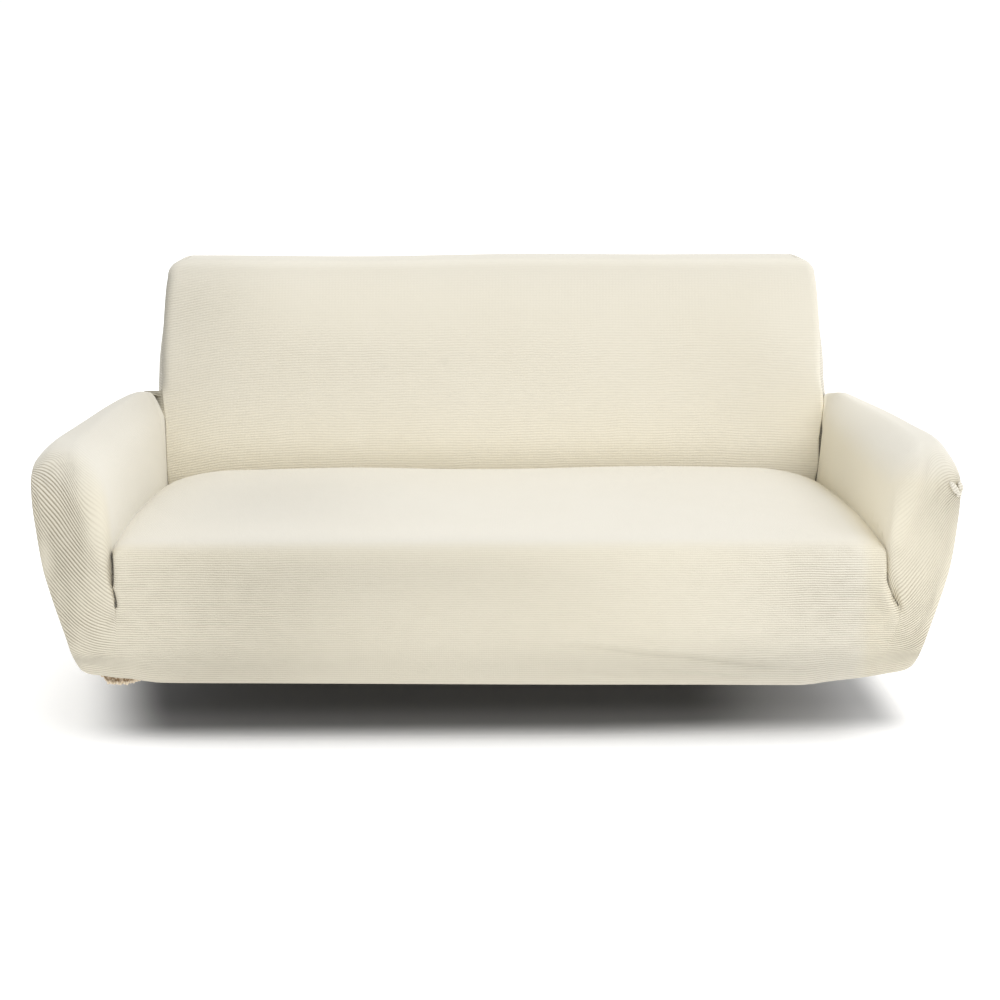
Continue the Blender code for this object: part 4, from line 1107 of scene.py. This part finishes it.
# ---------------------------- stage, light and camera
SUN_FROM = (0.38, -0.38, 0.84)  # where the key light comes from
SUN_POWER = 1.10
SUN_SPREAD = 45.0  # degrees across
ROOM_LIGHT = 0.77
ROOM_RIGHT, ROOM_UP = 0.12, 0.08  # how much brighter the room is towards the right and upwards
BACKDROP_LIGHT = 1.03
SHADE = (-0.735, 0.110, 0.84, 0.90)  # painted shadow on the floor under the cover: low x and y, high x and y
SHADE_SOFT = (0.105, 0.06, 0.064)  # how softly it ends at the left, at the right and forwards
SHADE_SPREAD = 0.22  # how much further left it reaches for each metre back
SHADE_TILT = 0.022  # and how much further back its front edge lies at the right,
SHADE_TILTED = (0.15, 0.60)  # from here to there
GLIMMER = (0.40, 0.66, 0.27)  # painted light in that shadow from the right: from x, in full from x, share
FORE_LIGHT = (0.31, 0.15, 0.110)  # and from the front: from y, in full from y, share
# colour of the painted shadow
SHADE_COLOR = (0.19, 0.19, 0.195)
WHITE = (1.0, 1.0, 1.0, 1.0)
FLOOR_GLOW = 0.22  # painted glow of the floor, which is no lamp, left out of the painted shadow
FLOOR_REACH = 12.0
CAMERA_PLACE = (-0.059, -3.259, 1.260)
CAMERA_TILT, CAMERA_TURN = 12.9, 1.08  # degrees down and to the right
CAMERA_LENS = 62.6  # millimetres, on a sensor 36 mm wide


def floor_material():
    """White and glowing, with a painted shadow under the cover where little light reaches the floor, lifted
    in part by painted light from the right and the front.
    """
    material, surface, n = new_material("floor_white_painted_shadow", roughness=0.95, specular=0.0)

    def ramp(value, start, end):
        share = n.new("ShaderNodeMapRange", interpolation_type="SMOOTHSTEP")
        return n.feed(share, Value=value, From_Min=start, From_Max=end)

    x, y, _ = n.axes(n.object_place())
    y = n.plus(y, HOLD_POINT[1])
    x_low, y_low, x_high, y_high = SHADE
    soft_left, soft_right, soft_y = SHADE_SOFT
    left = ramp(n.plus(x, n.times(y, SHADE_SPREAD)), x_low - soft_left, x_low + soft_left)
    across = n.times(left, ramp(x, x_high + soft_right, x_high - soft_right))
    forward = n.minus(y, n.times(ramp(x, *SHADE_TILTED), SHADE_TILT))
    back = n.times(ramp(forward, y_low - soft_y, y_low + soft_y),
                   ramp(forward, y_high + soft_y, y_high - soft_y))
    light = n.plus(*(n.times(ramp(place, start, full), share)
                     for place, (start, full, share) in ((x, GLIMMER), (y, FORE_LIGHT))))
    shade = n.times(across, back, n.minus(1.0, light))
    n.feed(surface, Base_Color=n.mix_color(shade, WHITE[:3], SHADE_COLOR), Emission_Color=WHITE,
           Emission_Strength=n.times(n.minus(1.0, shade), FLOOR_GLOW))
    return material


def add_floor():
    mesh = bpy.data.meshes.new("floor")
    corners = [(x * FLOOR_REACH, y * FLOOR_REACH, 0.0) for x, y in ((-1, -1), (1, -1), (1, 1), (-1, 1))]
    mesh.from_pydata(from_floor(corners), [], [(0, 1, 2, 3)])
    add_object("floor", mesh, floor_material())


def add_world():
    """A plain room, brighter towards some sides, with a white backdrop where the camera looks."""
    world = bpy.data.worlds.new("studio")
    world.use_nodes = True
    n = Nodes(world)
    side, back, up = n.axes(n.new("ShaderNodeTexCoord").outputs["Generated"])
    strength = ROOM_LIGHT
    for axis, power in ((side, ROOM_RIGHT), (up, ROOM_UP)):
        strength = n.plus(strength, n.times(n.math("MAXIMUM", axis, 0.0), power))
    backdrop = n.times(n.math("GREATER_THAN", back, 0.90), BACKDROP_LIGHT)
    n.feed(world.node_tree.nodes["Background"], Color=WHITE, Strength=n.math("MAXIMUM", strength, backdrop))
    bpy.context.scene.world = world


def add_sun():
    data = bpy.data.lights.new("key", "SUN")
    data.energy = SUN_POWER
    data.angle = math.radians(SUN_SPREAD)
    sun = add_object("key", data)
    sun.rotation_euler = (-Vector(SUN_FROM)).to_track_quat("-Z", "Y").to_euler()


def add_camera():
    data = bpy.data.cameras.new("camera")
    data.lens = CAMERA_LENS
    data.sensor_width = 36.0
    camera = add_object("camera", data)
    camera.location = from_floor(CAMERA_PLACE)
    camera.rotation_euler = (math.radians(90 - CAMERA_TILT), 0.0, math.radians(-CAMERA_TURN))
    bpy.context.scene.camera = camera


# ---------------------------- small pieces
KNOT_LOBES = (
    # middle, half length, width and depth, and which way it points
    ((880, 2, 533), (15.5, 5.6, 6.6), (0.62, 0.0, -0.78)),
    ((892, 6, 535), (11, 5, 6.6), (0.3, 0.1, -0.95)),
    ((890, 4, 521), (6.2, 5, 5.6), (0.1, 0.0, -1.0)),
)


def knot_grids():
    """The small twist of cloth at the right arm's front corner, where the corner seam is drawn together."""
    grids = []
    round_it, along = np.meshgrid(np.linspace(0, 2 * math.pi, 37), np.linspace(0.06, math.pi - 0.06, 25))
    folds = 1 + 0.16 * np.sin(3 * round_it + 2.2 * along) * np.sin(along)
    ring = np.sin(along) ** 0.8 * folds
    for middle, sizes, way in KNOT_LOBES:
        length, width, depth = metres(sizes)
        way = np.array(way) / np.linalg.norm(way)
        aside = np.cross((0.0, 1.0, 0.0), way)
        front = np.cross(way, aside)
        points = (metres(middle) + (np.cos(along) * length)[..., None] * way
                  + (ring * np.cos(round_it) * width)[..., None] * aside
                  + (ring * np.sin(round_it) * depth)[..., None] * front)
        grids.append((points, stack(round_it * width, along * length), False))
    return grids


def add_knot(material):
    knot = add_object("corner_knot", sheet_mesh("corner_knot", "corner_knot", knot_grids()), material)
    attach(knot, "root")


# The hem's gathered inner edge shows below the front beside the left corner. Place and height of its
# lower edge:
FRILL_LOW = (
    (-788, 161), (-780, 152.5), (-770, 139.8), (-755, 138.3), (-738, 138), (-722, 141.3), (-708, 146),
    (-695, 149),
)
FRILL_TOP = 0.166  # its upper edge, behind the hem
FRILL_Y = 0.021  # how far behind the front it hangs
FRILL_CLOTH = 0.001
FRILL_GATHER = 0.006  # from one gather to the next
FRILL_WAVE = 0.0009  # how far the gathers move its lower edge up and down
FRILL_FOLDS = (0.0024, 0.0012)  # and to and fro, in small folds and in long ones
# painted shade of the hem
FRILL_PAINTED_SHADE = (0.230, 0.150, 0.080)
FRILL_LIGHT = (0.760, 0.660, 0.520)


def frill_material():
    """Brown shade of the hem painted in patches, with a light edge."""
    material, surface, n = new_material("gathered_hem", roughness=0.9, specular=0.1)
    speckle = n.times(n.minus(n.noise(n.object_place(), 170.0), 0.5), 2.4)
    share = n.plus(n.attribute("edge"), n.plus(0.30, speckle))
    share = n.math("MINIMUM", n.math("MAXIMUM", share, 0.0), 1.0)
    n.feed(surface, Base_Color=n.mix_color(share, FRILL_PAINTED_SHADE, FRILL_LIGHT))
    return material


def add_frill():
    low, = columns(FRILL_LOW)
    start, end = metres((FRILL_LOW[0][0], FRILL_LOW[-1][0]))
    x = np.linspace(start, end, 240)[:, None]
    down = np.linspace(0.0, 1.0, 12)[None]
    phase = 2 * math.pi * x / FRILL_GATHER + 1.6 * np.sin(55 * x)
    z = mix(FRILL_TOP, low(x) + FRILL_WAVE * np.sin(phase * 0.5), down)
    small, long = FRILL_FOLDS
    y = FRILL_Y + small * np.sin(phase) * down + long * np.sin(phase * 0.37)
    points = stack(x, y, z)
    edge = ease(down, 0.74, 0.90) + 0.35 * (0.5 + 0.5 * np.sin(phase)) * down
    mesh = bpy.data.meshes.new("hem_gather")
    mesh.from_pydata(from_floor(points.reshape(-1, 3)), [], grid_quads(points.shape).tolist())
    mesh.attributes.new("edge", "FLOAT", "POINT").data.foreach_set("value", np.clip(edge, 0, 1).ravel())
    mesh.shade_smooth()
    frill = add_object("hem_gather", mesh, frill_material())
    thicken(frill, FRILL_CLOTH, 0.0)
    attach(frill, "root")


def main():
    knit = knit_material()
    front = add_sheet("front_panel", front_panel_grids(), knit)
    for side in SIDES:
        panel = add_sheet("arm_side_" + side, side_panel_grids(side), knit)
    inside = add_sheet("inside_back", inside_back_grids(), knit)
    outside = add_sheet("outside_back", outside_back_grids(), knit)
    add_knot(knit)
    add_frill()
    add_floor()
    add_world()
    add_sun()
    add_camera()
    bpy.context.scene.view_settings.view_transform = "Standard"


main()
